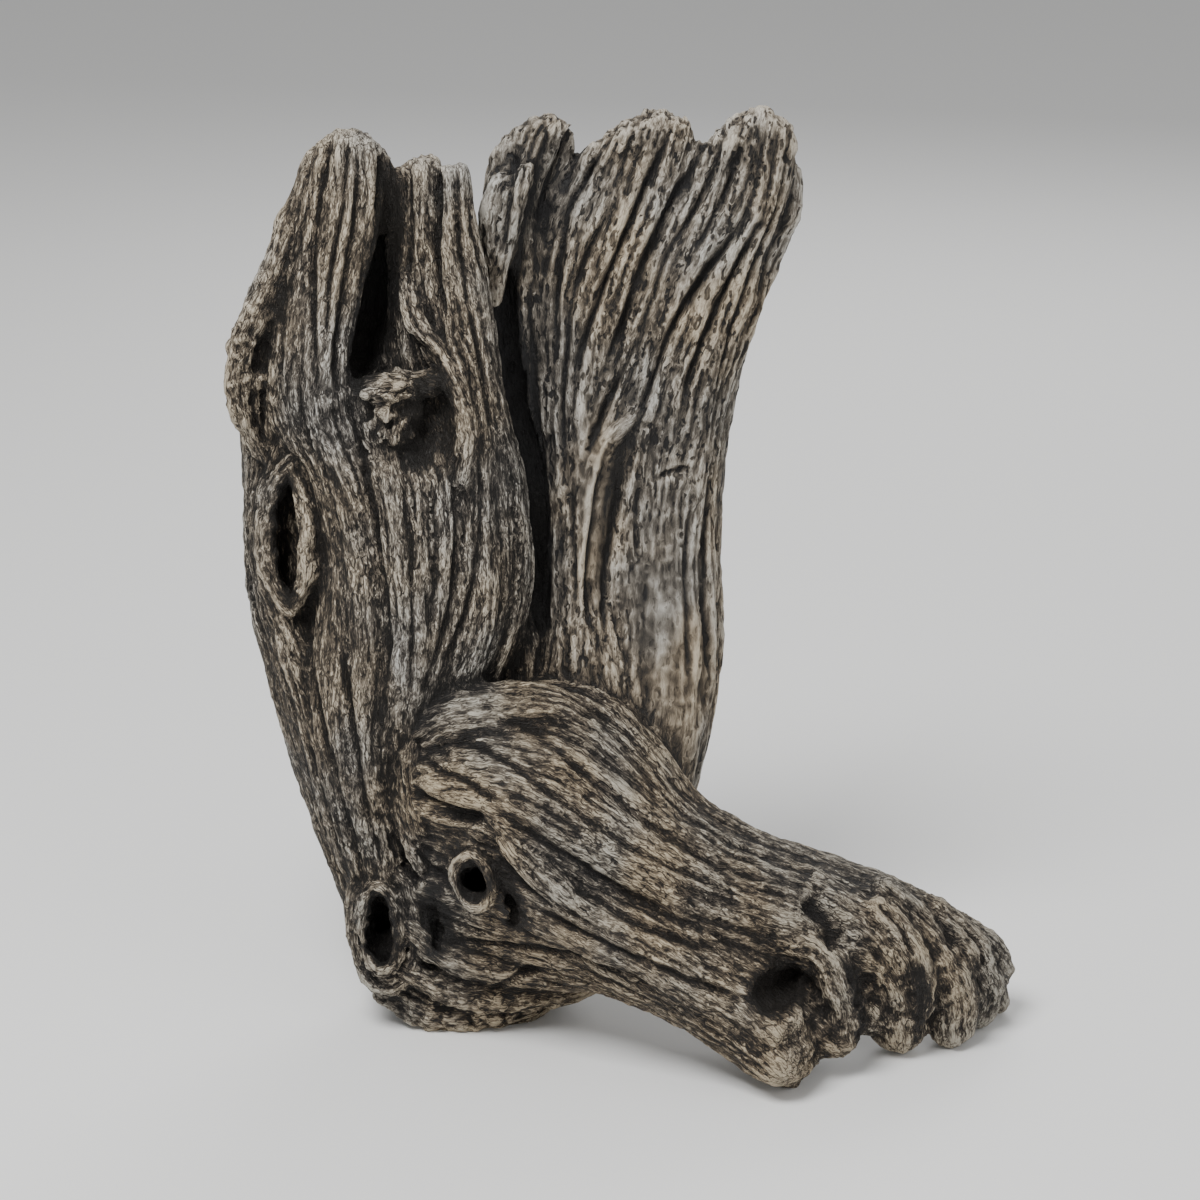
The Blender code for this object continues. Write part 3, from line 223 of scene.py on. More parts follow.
# Each lamp: place, size and power. The world's light and the floor's size, colour and roughness
LAMPS = {
    "key": ((-0.45, -0.8, 1.6), 0.7, 34),
    "fill": ((1.3, -1.1, 0.9), 1.4, 8),
    "rim": ((0.4, 1.4, 1.2), 1.0, 10),
}
WORLD_LIGHT = 0.42
FLOOR_SIZE, FLOOR_COLOUR, FLOOR_ROUGHNESS = 12, (0.86, 0.86, 0.85, 1), 0.9

# Lines that the grain follows: x, y, z and the fibre's radius at each point
GUIDES = {
    # the trunk's front, from its broken top down
    "lobe_left": ((-56, -2, 355, 7.5), (-61, -4, 333, 8.5), (-65, -6, 308, 8.5), (-69, -10, 281, 8.5),
        (-68, -12, 258, 8), (-58, -14, 238, 7), (-52, -16, 210, 6.5), (-52, -18, 178, 8),
        (-54, -18, 144, 9), (-50, -16, 109, 9), (-43, -12, 73, 8), (-36, -8, 44, 7.5)),
    "lobe_right": ((-35, -6, 358, 7), (-34, -8, 339, 7), (-41, -10, 313, 7), (-47, -14, 286, 7),
        (-46, -18, 263, 7), (-39, -22, 236, 8.5), (-32, -24, 204, 9.5), (-30, -24, 171, 9.5),
        (-32, -20, 136, 9), (-32, -14, 100, 9), (-28, -10, 63, 9), (-22, -8, 40, 9)),
    "middle_left": ((-28, -1, 355, 3.5), (-28, 1, 330, 4), (-30, 2, 306, 4.5), (-31, 1, 286, 4.5),
        (-28, -4, 270, 5), (-18, -12, 249, 5.5), (-10, -20, 227, 8), (-9, -24, 196, 9.5),
        (-12, -22, 162, 9.5), (-20, -14, 126, 9)),
    "middle_right": ((-15, -2, 357, 4), (-12, -4, 331, 4.5), (-7, -8, 308, 5.5), (-3, -12, 289, 6),
        (2, -14, 270, 6), (3, -16, 247, 7), (3, -20, 219, 8.5), (3, -22, 191, 10), (-4, -20, 162, 10.5),
        (-18, -12, 127, 9)),
    "ridge_left": ((-8, -4, 357, 3.5), (-6, -7, 331, 4.5), (-1, -9, 308, 5.5), (3, -11, 285, 5.5),
        (6, -12, 262, 6), (9, -13, 238, 6.5), (11, -14, 209, 8), (8, -14, 180, 8.5), (-2, -12, 155, 9.5),
        (-16, -8, 125, 9)),
    "ridge_right": ((0, -2, 355, 3), (2, -3, 331, 4), (6, -3, 307, 4.5), (9, -3, 283, 4.5),
        (13, -3, 259, 4.5), (18, -3, 235, 5.5), (20, -2, 206, 6), (18, -2, 181, 7), (7, -2, 153, 9),
        (-13, 0, 122, 9.5)),
    "belly_left": ((-44, -18, 255, 6), (-36, -24, 233, 8), (-29, -28, 205, 9.5), (-27, -28, 173, 9.5),
        (-29, -22, 137, 8.5), (-29, -14, 100, 8)),
    "belly_right": ((-12, -14, 250, 5.5), (-10, -24, 229, 8), (-12, -28, 197, 9.5), (-15, -26, 168, 9.5),
        (-22, -20, 136, 9), (-25, -12, 99, 8)),
    "rim_left": ((-83, 4, 239, 6), (-83, 4, 212, 7), (-83, 4, 187, 7), (-78, 4, 157, 7.5),
        (-70, 4, 123, 7.5), (-59, 4, 88, 8), (-48, 4, 53, 8), (-41, 2, 24, 8.5)),
    "rim_right": ((-72, -10, 244, 5.5), (-79, -8, 220, 4.5), (-80, -8, 195, 5), (-71, -12, 167, 6.5),
        (-63, -14, 138, 7), (-55, -14, 104, 7.5), (-47, -12, 73, 7.5), (-41, -10, 52, 6.5)),
    "shoulder_left": ((-56, 12, 345, 8), (-62, 12, 330, 8), (-70, 14, 303, 8), (-80, 12, 280, 8),
        (-83, 12, 255, 7), (-82, 10, 237, 6.5)),
    "shoulder_right": ((-51, -2, 350, 7.5), (-59, -4, 331, 8.5), (-64, -6, 304, 8.5), (-72, -6, 280, 8),
        (-75, -6, 256, 7), (-74, -6, 242, 6.5)),
    "bark_flap": ((-62, -2, 344, 4), (-68, -6, 334, 4.5), (-72, -10, 322, 5), (-79, -12, 305, 5.5),
        (-86, -12, 287, 6), (-88, -11, 271, 6), (-86, -9, 257, 5), (-82, -6, 244, 4.5)),
    "bent_ridge": ((-24, -8, 312, 2.5), (-20, -14, 297, 3.5), (-11, -19, 284, 4), (-3, -22, 270, 4.5),
        (0, -23, 254, 4.5), (-2, -25, 238, 4)),
    # the trunk's back and its inside
    "back_left": ((-53, 16, 343, 8.5), (-68, 22, 310, 10), (-79, 24, 269, 11), (-80, 26, 231, 12),
        (-78, 26, 189, 12), (-72, 22, 147, 12.5), (-62, 18, 105, 12.5), (-47, 14, 57, 11.5),
        (-36, 10, 23, 10)),
    "back_middle": ((-33, 30, 332, 9.5), (-34, 36, 278, 11), (-35, 42, 222, 13), (-32, 42, 166, 14),
        (-26, 36, 116, 14), (-18, 26, 66, 14), (-9, 18, 29, 12.5)),
    "back_right": ((-6, 14, 339, 6), (-2, 20, 298, 8.5), (2, 24, 256, 10.5), (8, 26, 218, 11.5),
        (9, 26, 180, 11.5), (4, 24, 142, 13), (1, 20, 95, 15), (2, 16, 52, 15), (6, 12, 22, 12.5)),
    "core_left": ((-43, 2, 350, 11.5), (-45, 8, 336, 14), (-48, 8, 293, 18), (-51, 8, 248, 21.5),
        (-50, 8, 203, 24), (-47, 6, 161, 23.5), (-40, 4, 119, 21), (-30, 4, 75, 19), (-19, 6, 29, 16.5)),
    "core_right": ((-16, 6, 349, 9.5), (-12, 8, 328, 11), (-8, 6, 293, 12.5), (-6, 6, 253, 16.5),
        (-3, 4, 212, 20), (-3, 4, 179, 21), (-10, 4, 136, 22.5), (-13, 2, 93, 23.5), (-10, 4, 48, 20.5)),
    # the heel that it stands on
    "heel_left": ((-34, -4, 49, 11.5), (-36, -4, 29, 12.5), (-31, -4, 17, 11.5)),
    "heel_front": ((-34, -13, 16, 8), (-18, -13, 9, 10.5), (0, -11, 7, 11.5), (19, -5, 8, 11),
        (30, 2, 14, 10)),
    "heel_back": ((-20, 22, 13, 17), (1, 24, 7, 18), (22, 22, 15, 16), (35, 18, 33, 17)),
    "heel_sole": ((-22, 6, 8, 12), (0, 6, 7, 13), (22, 8, 11, 12)),
    "heel_fold_high": ((-24, -26, 50, 5.5), (-11, -29, 41, 8), (7, -29, 36, 9), (28, -28, 32, 9),
        (48, -26, 28, 7.5)),
    "heel_fold_low": ((-30, -22, 31, 5.5), (-13, -23, 23, 8), (7, -21, 19, 9), (27, -16, 18, 9),
        (46, -10, 18, 7.5)),
    # the slab's front, from its broken top down
    "far_lobe_left": ((12, 16, 349, 5.5), (12, 17, 329, 6.5), (14, 20, 302, 7), (16, 24, 264, 8),
        (20, 28, 226, 9), (24, 28, 188, 10.5), (28, 22, 147, 12.5), (31, 14, 111, 14)),
    "far_lobe_right": ((37, 18, 361, 5.5), (29, 17, 342, 6), (25, 17, 311, 6.5), (25, 17, 274, 6.5),
        (27, 16, 238, 7), (31, 14, 201, 8), (34, 12, 168, 9.5), (36, 6, 127, 14)),
    "mid_lobe_left": ((50, 18, 358, 5), (39, 17, 334, 5.5), (32, 16, 303, 6), (32, 15, 271, 6),
        (34, 13, 239, 6), (36, 10, 206, 7), (38, 6, 174, 9), (38, 0, 138, 13.5)),
    "mid_lobe_right": ((84, 14, 367, 5.5), (78, 13, 344, 6), (68, 12, 318, 6), (58, 11, 290, 6.5),
        (52, 10, 264, 6), (48, 8, 238, 5.5), (46, 7, 207, 6), (46, 4, 174, 8), (48, 0, 138, 13)),
    "near_lobe_left": ((93, 16, 357, 5), (87, 14, 337, 5.5), (77, 12, 313, 6), (67, 11, 286, 6),
        (59, 10, 260, 5.5), (54, 9, 238, 5), (51, 8, 211, 5), (51, 6, 178, 7), (54, 0, 142, 12)),
    "near_lobe_right": ((123, 16, 366, 5.5), (120, 15, 343, 6), (111, 14, 319, 6.5), (103, 13, 292, 6.5),
        (95, 12, 265, 6.5), (91, 13, 243, 6.5), (87, 14, 218, 7), (85, 14, 188, 8), (86, 12, 159, 9.5),
        (83, 8, 126, 13), (75, 4, 97, 16.5)),
    "flat_left": ((70, 14, 242, 5), (65, 20, 220, 5.5), (63, 20, 195, 7.5), (65, 16, 166, 9.5),
        (68, 10, 134, 12), (63, 2, 98, 16.5)),
    "slab_edge": ((128, 22, 350, 3.5), (128, 22, 336, 4.5), (120, 21, 318, 5), (112, 20, 296, 5.5),
        (104, 18, 274, 5.5), (98, 17, 252, 5.5), (96, 17, 235, 5), (94, 16, 215, 5), (94, 16, 192, 5.5),
        (95, 16, 166, 5.5), (94, 15, 145, 6), (90, 13, 124, 7), (83, 10, 106, 7.5)),
    "splinter": ((23, 4, 353, 3.5), (21, 3, 345, 4.5), (18, 3, 333, 4.5), (14, 5, 316, 3.5),
        (11, 8, 299, 2.5)),
    "splinter_left": ((14, 8, 347, 4.5), (11, 7, 337, 6), (9, 8, 322, 5), (9, 9, 306, 3)),
    "cleft_floor": ((18, 8, 180, 7), (20, 7, 164, 9), (20, 2, 148, 10), (18, -2, 134, 11)),
    "pale_strand": ((76, 10, 272, 3), (66, 7, 256, 3.5), (55, 5, 245, 4), (49, 3.5, 225, 4),
        (45, 1, 197, 4), (42, -3, 169, 4)),
    # the slab's back and its inside
    "slab_back_left": ((21, 30, 344, 6.5), (18, 34, 311, 8), (20, 40, 269, 9.5), (25, 44, 226, 11.5),
        (31, 44, 174, 13), (34, 36, 125, 16), (31, 26, 75, 18.5), (18, 18, 33, 17)),
    "slab_back_right": ((123, 26, 351, 5), (117, 30, 320, 7), (103, 32, 283, 9), (94, 33, 246, 10.5),
        (89, 34, 203, 12), (87, 32, 152, 14), (81, 26, 111, 15), (67, 18, 74, 16)),
    "slab_core_1": ((36, 24, 341, 8.5), (33, 26, 301, 11), (34, 28, 255, 13), (38, 28, 205, 14.5),
        (41, 24, 155, 17), (38, 16, 106, 21.5)),
    "slab_core_2": ((68, 21, 342, 9.5), (54, 22, 298, 12), (48, 24, 256, 13), (49, 24, 215, 13.5),
        (53, 22, 164, 16.5), (52, 14, 115, 21.5)),
    "slab_core_3": ((103, 21, 346, 9.5), (91, 21, 306, 12), (81, 22, 269, 12.5), (75, 24, 231, 13),
        (74, 24, 189, 14.5), (75, 22, 147, 16.5), (67, 14, 102, 19)),
    # the foot, from the trunk out to the toes
    "foot_core": ((-13, -4, 96, 27), (16, -20, 93, 31.5), (52, -30, 79, 30.5), (84, -37, 64, 26.5),
        (116, -40, 47, 22.5), (144, -40, 37, 18.5), (167, -35, 29, 15.5)),
    "instep_far": ((-13, -4, 121, 16), (16, -6, 130, 17.5), (42, -8, 131, 18.5), (61, -14, 118, 17),
        (81, -18, 94, 16), (106, -21, 78, 15.5), (133, -23, 69, 14.5), (159, -23, 60, 14),
        (182, -20, 50, 12), (203, -10, 31, 10.5)),
    "instep_near": ((-8, -31, 111, 16.5), (12, -38, 109, 18), (36, -44, 98, 18), (62, -48, 86, 17.5),
        (88, -51, 72, 16.5), (111, -52, 63, 15), (133, -51, 55, 13.5), (152, -48, 46, 12)),
    "knuckle_side": ((12, -42, 95, 10.5), (30, -49, 84, 12.5), (52, -55, 73, 14), (76, -61, 62, 14),
        (97, -65, 51, 13.5), (115, -68, 43, 12.5)),
    "flank_upper": ((-8, -20, 67, 16), (20, -34, 65, 17.5), (48, -45, 59, 17.5), (72, -55, 50, 16.5),
        (93, -63, 39, 15), (112, -70, 29, 14), (121, -75, 20, 13.5)),
    "flank_lower": ((-1, -10, 41, 16.5), (28, -24, 41, 16), (54, -37, 40, 15.5), (76, -48, 34, 13.5),
        (96, -59, 27, 12.5), (112, -69, 19, 12.5), (123, -75, 15, 12.5)),
    "foot_underside": ((2, 4, 35, 19), (31, -8, 40, 18), (60, -20, 41, 17), (88, -30, 34, 15.5),
        (117, -37, 29, 13.5), (141, -41, 24, 11.5)),
    "knuckle": ((10, -49, 110, 3), (17, -55, 98, 4.5), (32, -62, 85, 5.5), (52, -66, 72, 6),
        (75, -69, 63, 6), (93, -70, 53, 5)),
    "fold": ((-27, -22, 143, 3.5), (-28, -26, 121, 4), (-26, -28, 97, 4), (-20, -30, 76, 3.5)),
    "instep_start": ((-20, -24, 133, 9), (-8, -27, 140, 10.5), (10, -26, 142, 11.5), (34, -20, 138, 12),
        (54, -20, 122, 11), (70, -24, 104, 9)),
    "instep_edge": ((-21, -25, 134, 6.5), (-22, -29, 121, 7), (-21, -31, 109, 6.5), (-19, -31, 96, 6)),
    "instep_lip": ((-27, -24, 120, 5), (-16, -35, 115, 5), (-2, -44, 114, 5), (10, -49, 114, 4.5)),
    # the toes
    "toe_1_tip": ((118, -70, 26, 11), (123, -69, 17, 12.5), (126, -67, 11, 12)),
    "toe_1_side": ((129, -62, 29, 10), (144, -61, 16, 9), (149, -60, 15, 6)),
    "toe_2": ((125, -59, 59, 8), (138, -62, 54, 8.5), (145, -64, 42, 8), (149, -63, 30, 7.5),
        (151, -61, 19, 6.5)),
    "toe_2_back": ((130, -50, 50, 11), (145, -52, 36, 11), (150, -50, 21, 10)),
    "toe_3": ((138, -42, 66, 13.5), (156, -45, 55, 13.5), (169, -43, 34, 12.5), (173, -38, 12.5, 12.5)),
    "toe_3_back": ((150, -44, 36, 11), (160, -44, 20, 10)),
    "toe_3_side": ((163, -46, 63, 8), (175, -50, 50, 7), (179, -48, 32, 6.5), (178, -42, 11, 5.5)),
    "toe_4": ((165, -32, 62, 12), (183, -34, 45, 11), (194, -34, 25, 11), (195, -32, 9.5, 10.5)),
    "toe_5": ((184, -24, 51, 11.5), (200, -22, 38, 10.5), (208, -18, 20, 10), (207, -15, 8, 9)),
    "toe_6": ((197, -12, 40, 10.5), (212, -8, 27, 10.5), (216, -5, 22, 7.5)),
    "toe_7": ((211, -8, 22, 7.5), (217, -3, 6, 6)),
}

# Sheets between two guides: fibres, bulge and crown. Every other guide is a fibre of its own
SHEETS = (
    ("lobe_left", "lobe_right", 6, 6, 10),
    ("middle_left", "middle_right", 4, 2, 0),
    ("ridge_left", "ridge_right", 4, 3, 0),
    ("belly_left", "belly_right", 4, 3, 0),
    ("rim_left", "rim_right", 3, 1, 0),
    ("shoulder_left", "shoulder_right", 3, 2, 0),
    ("back_left", "back_middle", 6, -5, 2),
    ("back_middle", "back_right", 6, -4, 2),
    ("far_lobe_left", "far_lobe_right", 5, 1, 10),
    ("mid_lobe_left", "mid_lobe_right", 7, 1.5, 8),
    ("near_lobe_left", "near_lobe_right", 7, 1.5, 9),
    ("flat_left", "slab_edge", 5, 1, 0),
    ("slab_back_left", "slab_back_right", 11, -4, 6),
    ("instep_far", "instep_near", 5, 8, 0),
    ("knuckle_side", "flank_upper", 3, 4, 0),
    ("flank_upper", "flank_lower", 3, 3, 0),
)

# Rounded tops, laid across the ends of the fibres. The grain runs up over them
TOPS = {
    "lobe_top": ((-55, 0, 348, 8), (-51, 0, 356, 8.5), (-45, 0, 361, 8.5), (-40, 0, 360, 8.5),
        (-36, 1, 353, 7)),
    "lobe_top_back": ((-57, 11, 345, 9), (-48, 13, 352, 10), (-38, 13, 350, 9.5)),
    "far_top": ((13, 17, 348, 6), (17, 17, 357, 6.5), (26, 17, 364, 6.5), (34, 17, 366, 6.5),
        (37, 18, 361, 5.5)),
    "far_top_back": ((14, 27, 346, 6.5), (20, 26, 354, 7), (30, 26, 358, 7), (36, 26, 352, 6)),
    "mid_top": ((50, 16, 354, 6), (60, 15, 361, 6.5), (67, 15, 366, 6.5), (76, 15, 366, 6.5),
        (81, 15, 361, 6)),
    "mid_top_back": ((50, 25, 351, 6.5), (62, 24, 357, 7), (74, 24, 360, 7), (81, 25, 355, 6)),
    "near_top": ((90, 16, 347, 6), (98, 15, 355, 6.5), (105, 15, 363, 7), (115, 16, 367, 7),
        (121, 16, 364, 6.5), (123, 18, 355, 5.5)),
    "near_top_back": ((91, 25, 346, 6.5), (102, 25, 355, 7), (113, 26, 360, 7), (122, 26, 354, 6)),
}

# Slots, clefts, knot holes and gaps between toes, cut out as fibres are laid down
HOLLOWS = {
    "slot": ((-27, -11, 356, 3.5), (-29, -10, 333, 5), (-33, -9, 314, 6.5), (-36, -10, 297, 8),
        (-38, -13, 285, 8.5), (-38, -16, 277, 7)),
    "slot_in": ((-30, 0, 348, 3), (-33, 3, 328, 5), (-36, 3, 308, 7.5), (-39, 1, 292, 8.5),
        (-41, -4, 281, 7)),
    "cleft_a": ((9, 14, 339, 2), (12, 14, 315, 3.5), (16, 14, 287, 4.5), (19, 14, 259, 5),
        (24, 12, 235, 5), (28, 10, 210, 4), (30, 8, 188, 3), (29, 2, 171, 1.5)),
    "cleft_b": ((10, 26, 331, 3), (13, 28, 304, 4.5), (17, 28, 276, 5), (21, 28, 247, 5.5),
        (25, 26, 218, 5.5), (29, 20, 195, 4), (30, 14, 175, 2.5)),
    "by_splinter": ((25, 6, 342, 2), (23, 7, 329, 2.5), (19, 9, 308, 3), (16, 12, 288, 3)),
    "wedge": ((66, 0, 250, 1), (61, 1, 237, 2), (58, 0, 222, 2.8), (55, -1, 205, 2.4), (53, -3, 185, 1.2)),
    "eye_pit": ((-69, -17, 236, 1.5), (-71, -14, 224, 3.5), (-71, -13, 211, 4.5), (-71, -13, 198, 4),
        (-69, -16, 187, 2)),
    "eye_crack": ((-61, -26, 247, 1), (-57, -27, 234, 1.5), (-55, -26, 217, 1.5), (-56, -25, 199, 1.5),
        (-60, -22, 181, 2), (-65, -19, 162, 1)),
    "knot_pit": ((-11, -26, 276, 4), (-13, -26, 268, 6.5), (-14, -27, 259, 7), (-18, -28, 249, 5)),
    "small_hole": ((3, -57, 82, 6), (3, -46, 78, 6), (3, -36, 74, 5), (4, -28, 71, 3)),
    "low_knot": ((-37, -32, 61, 4.5), (-37, -32, 50, 6), (-36, -32, 39, 4.5)),
    "low_knot_in": ((-37, -20, 57, 5), (-38, -16, 47, 6), (-37, -20, 38, 5)),
    "niche": ((-16, -37, 67, 2.5), (-13, -37, 56, 3.5), (-13, -33, 43, 2.5)),
    "cavity": ((13, -54, 87, 2), (16, -57, 77, 3.5), (19, -58, 67, 3.5), (21, -57, 58, 2)),
    "toe_hole": ((118, -91, 51, 8.5), (120, -82, 47, 9), (123, -72, 45, 7.5), (127, -62, 43, 5)),
    "toe_gap_1": ((149, -72, 61, 2), (154, -67, 46, 4), (157, -64, 30, 4.5), (159, -61, 12, 5)),
    "toe_gap_2": ((172, -64, 53, 1.5), (179, -57, 39, 2.5), (182, -54, 25, 3.2), (183, -52, 8, 3.8)),
    "toe_gap_3": ((197, -46, 53, 1.5), (206, -39, 37, 2.5), (209, -36, 23, 3), (210, -33, 8, 3.5)),
    "fold_1": ((-25, -40, 152, 1.5), (-30, -40, 131, 2.5), (-30, -38, 101, 2.5), (-27, -36, 78, 1.5)),
    "fold_2": ((36, -10, 155, 1.5), (56, -14, 154, 2.5), (68, -16, 138, 2.5), (78, -18, 118, 2)),
    "bowl": ((-30, -12, 292, 5.5), (-21, -17, 288, 5.5), (-13, -22, 281, 4.5)),
    "flap_pit": ((-66, -18, 343, 2), (-67, -20, 339, 2.5)),
    "under_lip": ((-20, -41, 105, 2), (-9, -48, 105, 3), (3, -54, 104, 4), (10, -56, 103, 2.5)),
    "low_knot_end": ((-37, -8, 50, 4.5), (-37, -6, 42, 5)),
    "niche_in": ((-16, -30, 61, 2), (-14, -28, 51, 3), (-13, -27, 42, 2)),
    "cavity_in": ((14, -48, 81, 2), (16, -49, 72, 3), (18, -50, 63, 3)),
    "toe_hole_b": ((134, -79, 55, 3.5), (131, -78, 48, 6), (128, -70, 43, 6.5)),
}

# Rough lumps by the slot, and the lids of the eye-shaped knot, that grow back over the cut
BURLS = {
    "burl_left": ((-48, -16, 269, 4), (-40, -18, 271, 4.5), (-32, -22, 273, 5), (-26, -24, 274, 4.5)),
    "burl_low": ((-26, -18, 272, 8), (-26, -19, 262, 9), (-27, -20, 251, 7)),
    "burl_side": ((-39, -19, 267, 5), (-37, -21, 257, 5.5), (-33, -23, 247, 5)),
    "burl_right": ((-17, -20, 275, 4), (-12, -20, 275, 4.5)),
    "lid_left": ((-68, -16, 242, 3), (-75, -13, 230, 4), (-79, -11, 215, 4.5), (-80, -11, 200, 4.5),
        (-76, -13, 188, 4), (-70, -14, 180, 3.5)),
    "lid_right": ((-68, -16, 242, 2.5), (-65, -18, 232, 4), (-62, -19, 221, 5), (-62, -19, 209, 5),
        (-63, -18, 197, 4.5), (-67, -15, 184, 3)),
}

# Rims round the knots: centre, half width, half height, radius and tilt
RINGS = {
    "hole": ((2, -49.5, 79), 7.5, 11, 2.8, -0.6),
    "knot_in": ((-37, -25, 48), 8, 18, 3, -0.45),
    "knot_out": ((-35, -20, 48), 13.5, 26, 4, -0.45),
}

# Knobs strewn round a place: centre, spread across and up, how many, and radius
KNOBS = (
    ((-26, -26, 273), 12, 4, 20, 2.2),
    ((-29, -26, 260), 9, 10, 34, 2.2),
    ((-15, -22, 273), 5, 4, 10, 2.2),
    ((-84, -8, 284), 5, 22, 22, 3.4),
    ((-4, -19, 9), 26, 6, 30, 2.8),
    ((-35, -16, 20), 6, 7, 14, 2.6),
    ((151, -62, 24), 5, 9, 10, 3.6),
    ((176, -46, 22), 6, 12, 10, 3.6),
    ((124, -78, 18), 9, 7, 10, 3.4),
)

# Smoother places: centre, reach and how much of the ribs is left out
CALM = (
    ((80, 10, 165), (22, 30, 70), 0.75),
    ((175, -40, 30), (45, 40, 40), 0.5),
    ((-20, -20, 280), (16, 20, 22), 0.4),
    ((35, -40, 105), (65, 45, 40), 0.45),
)

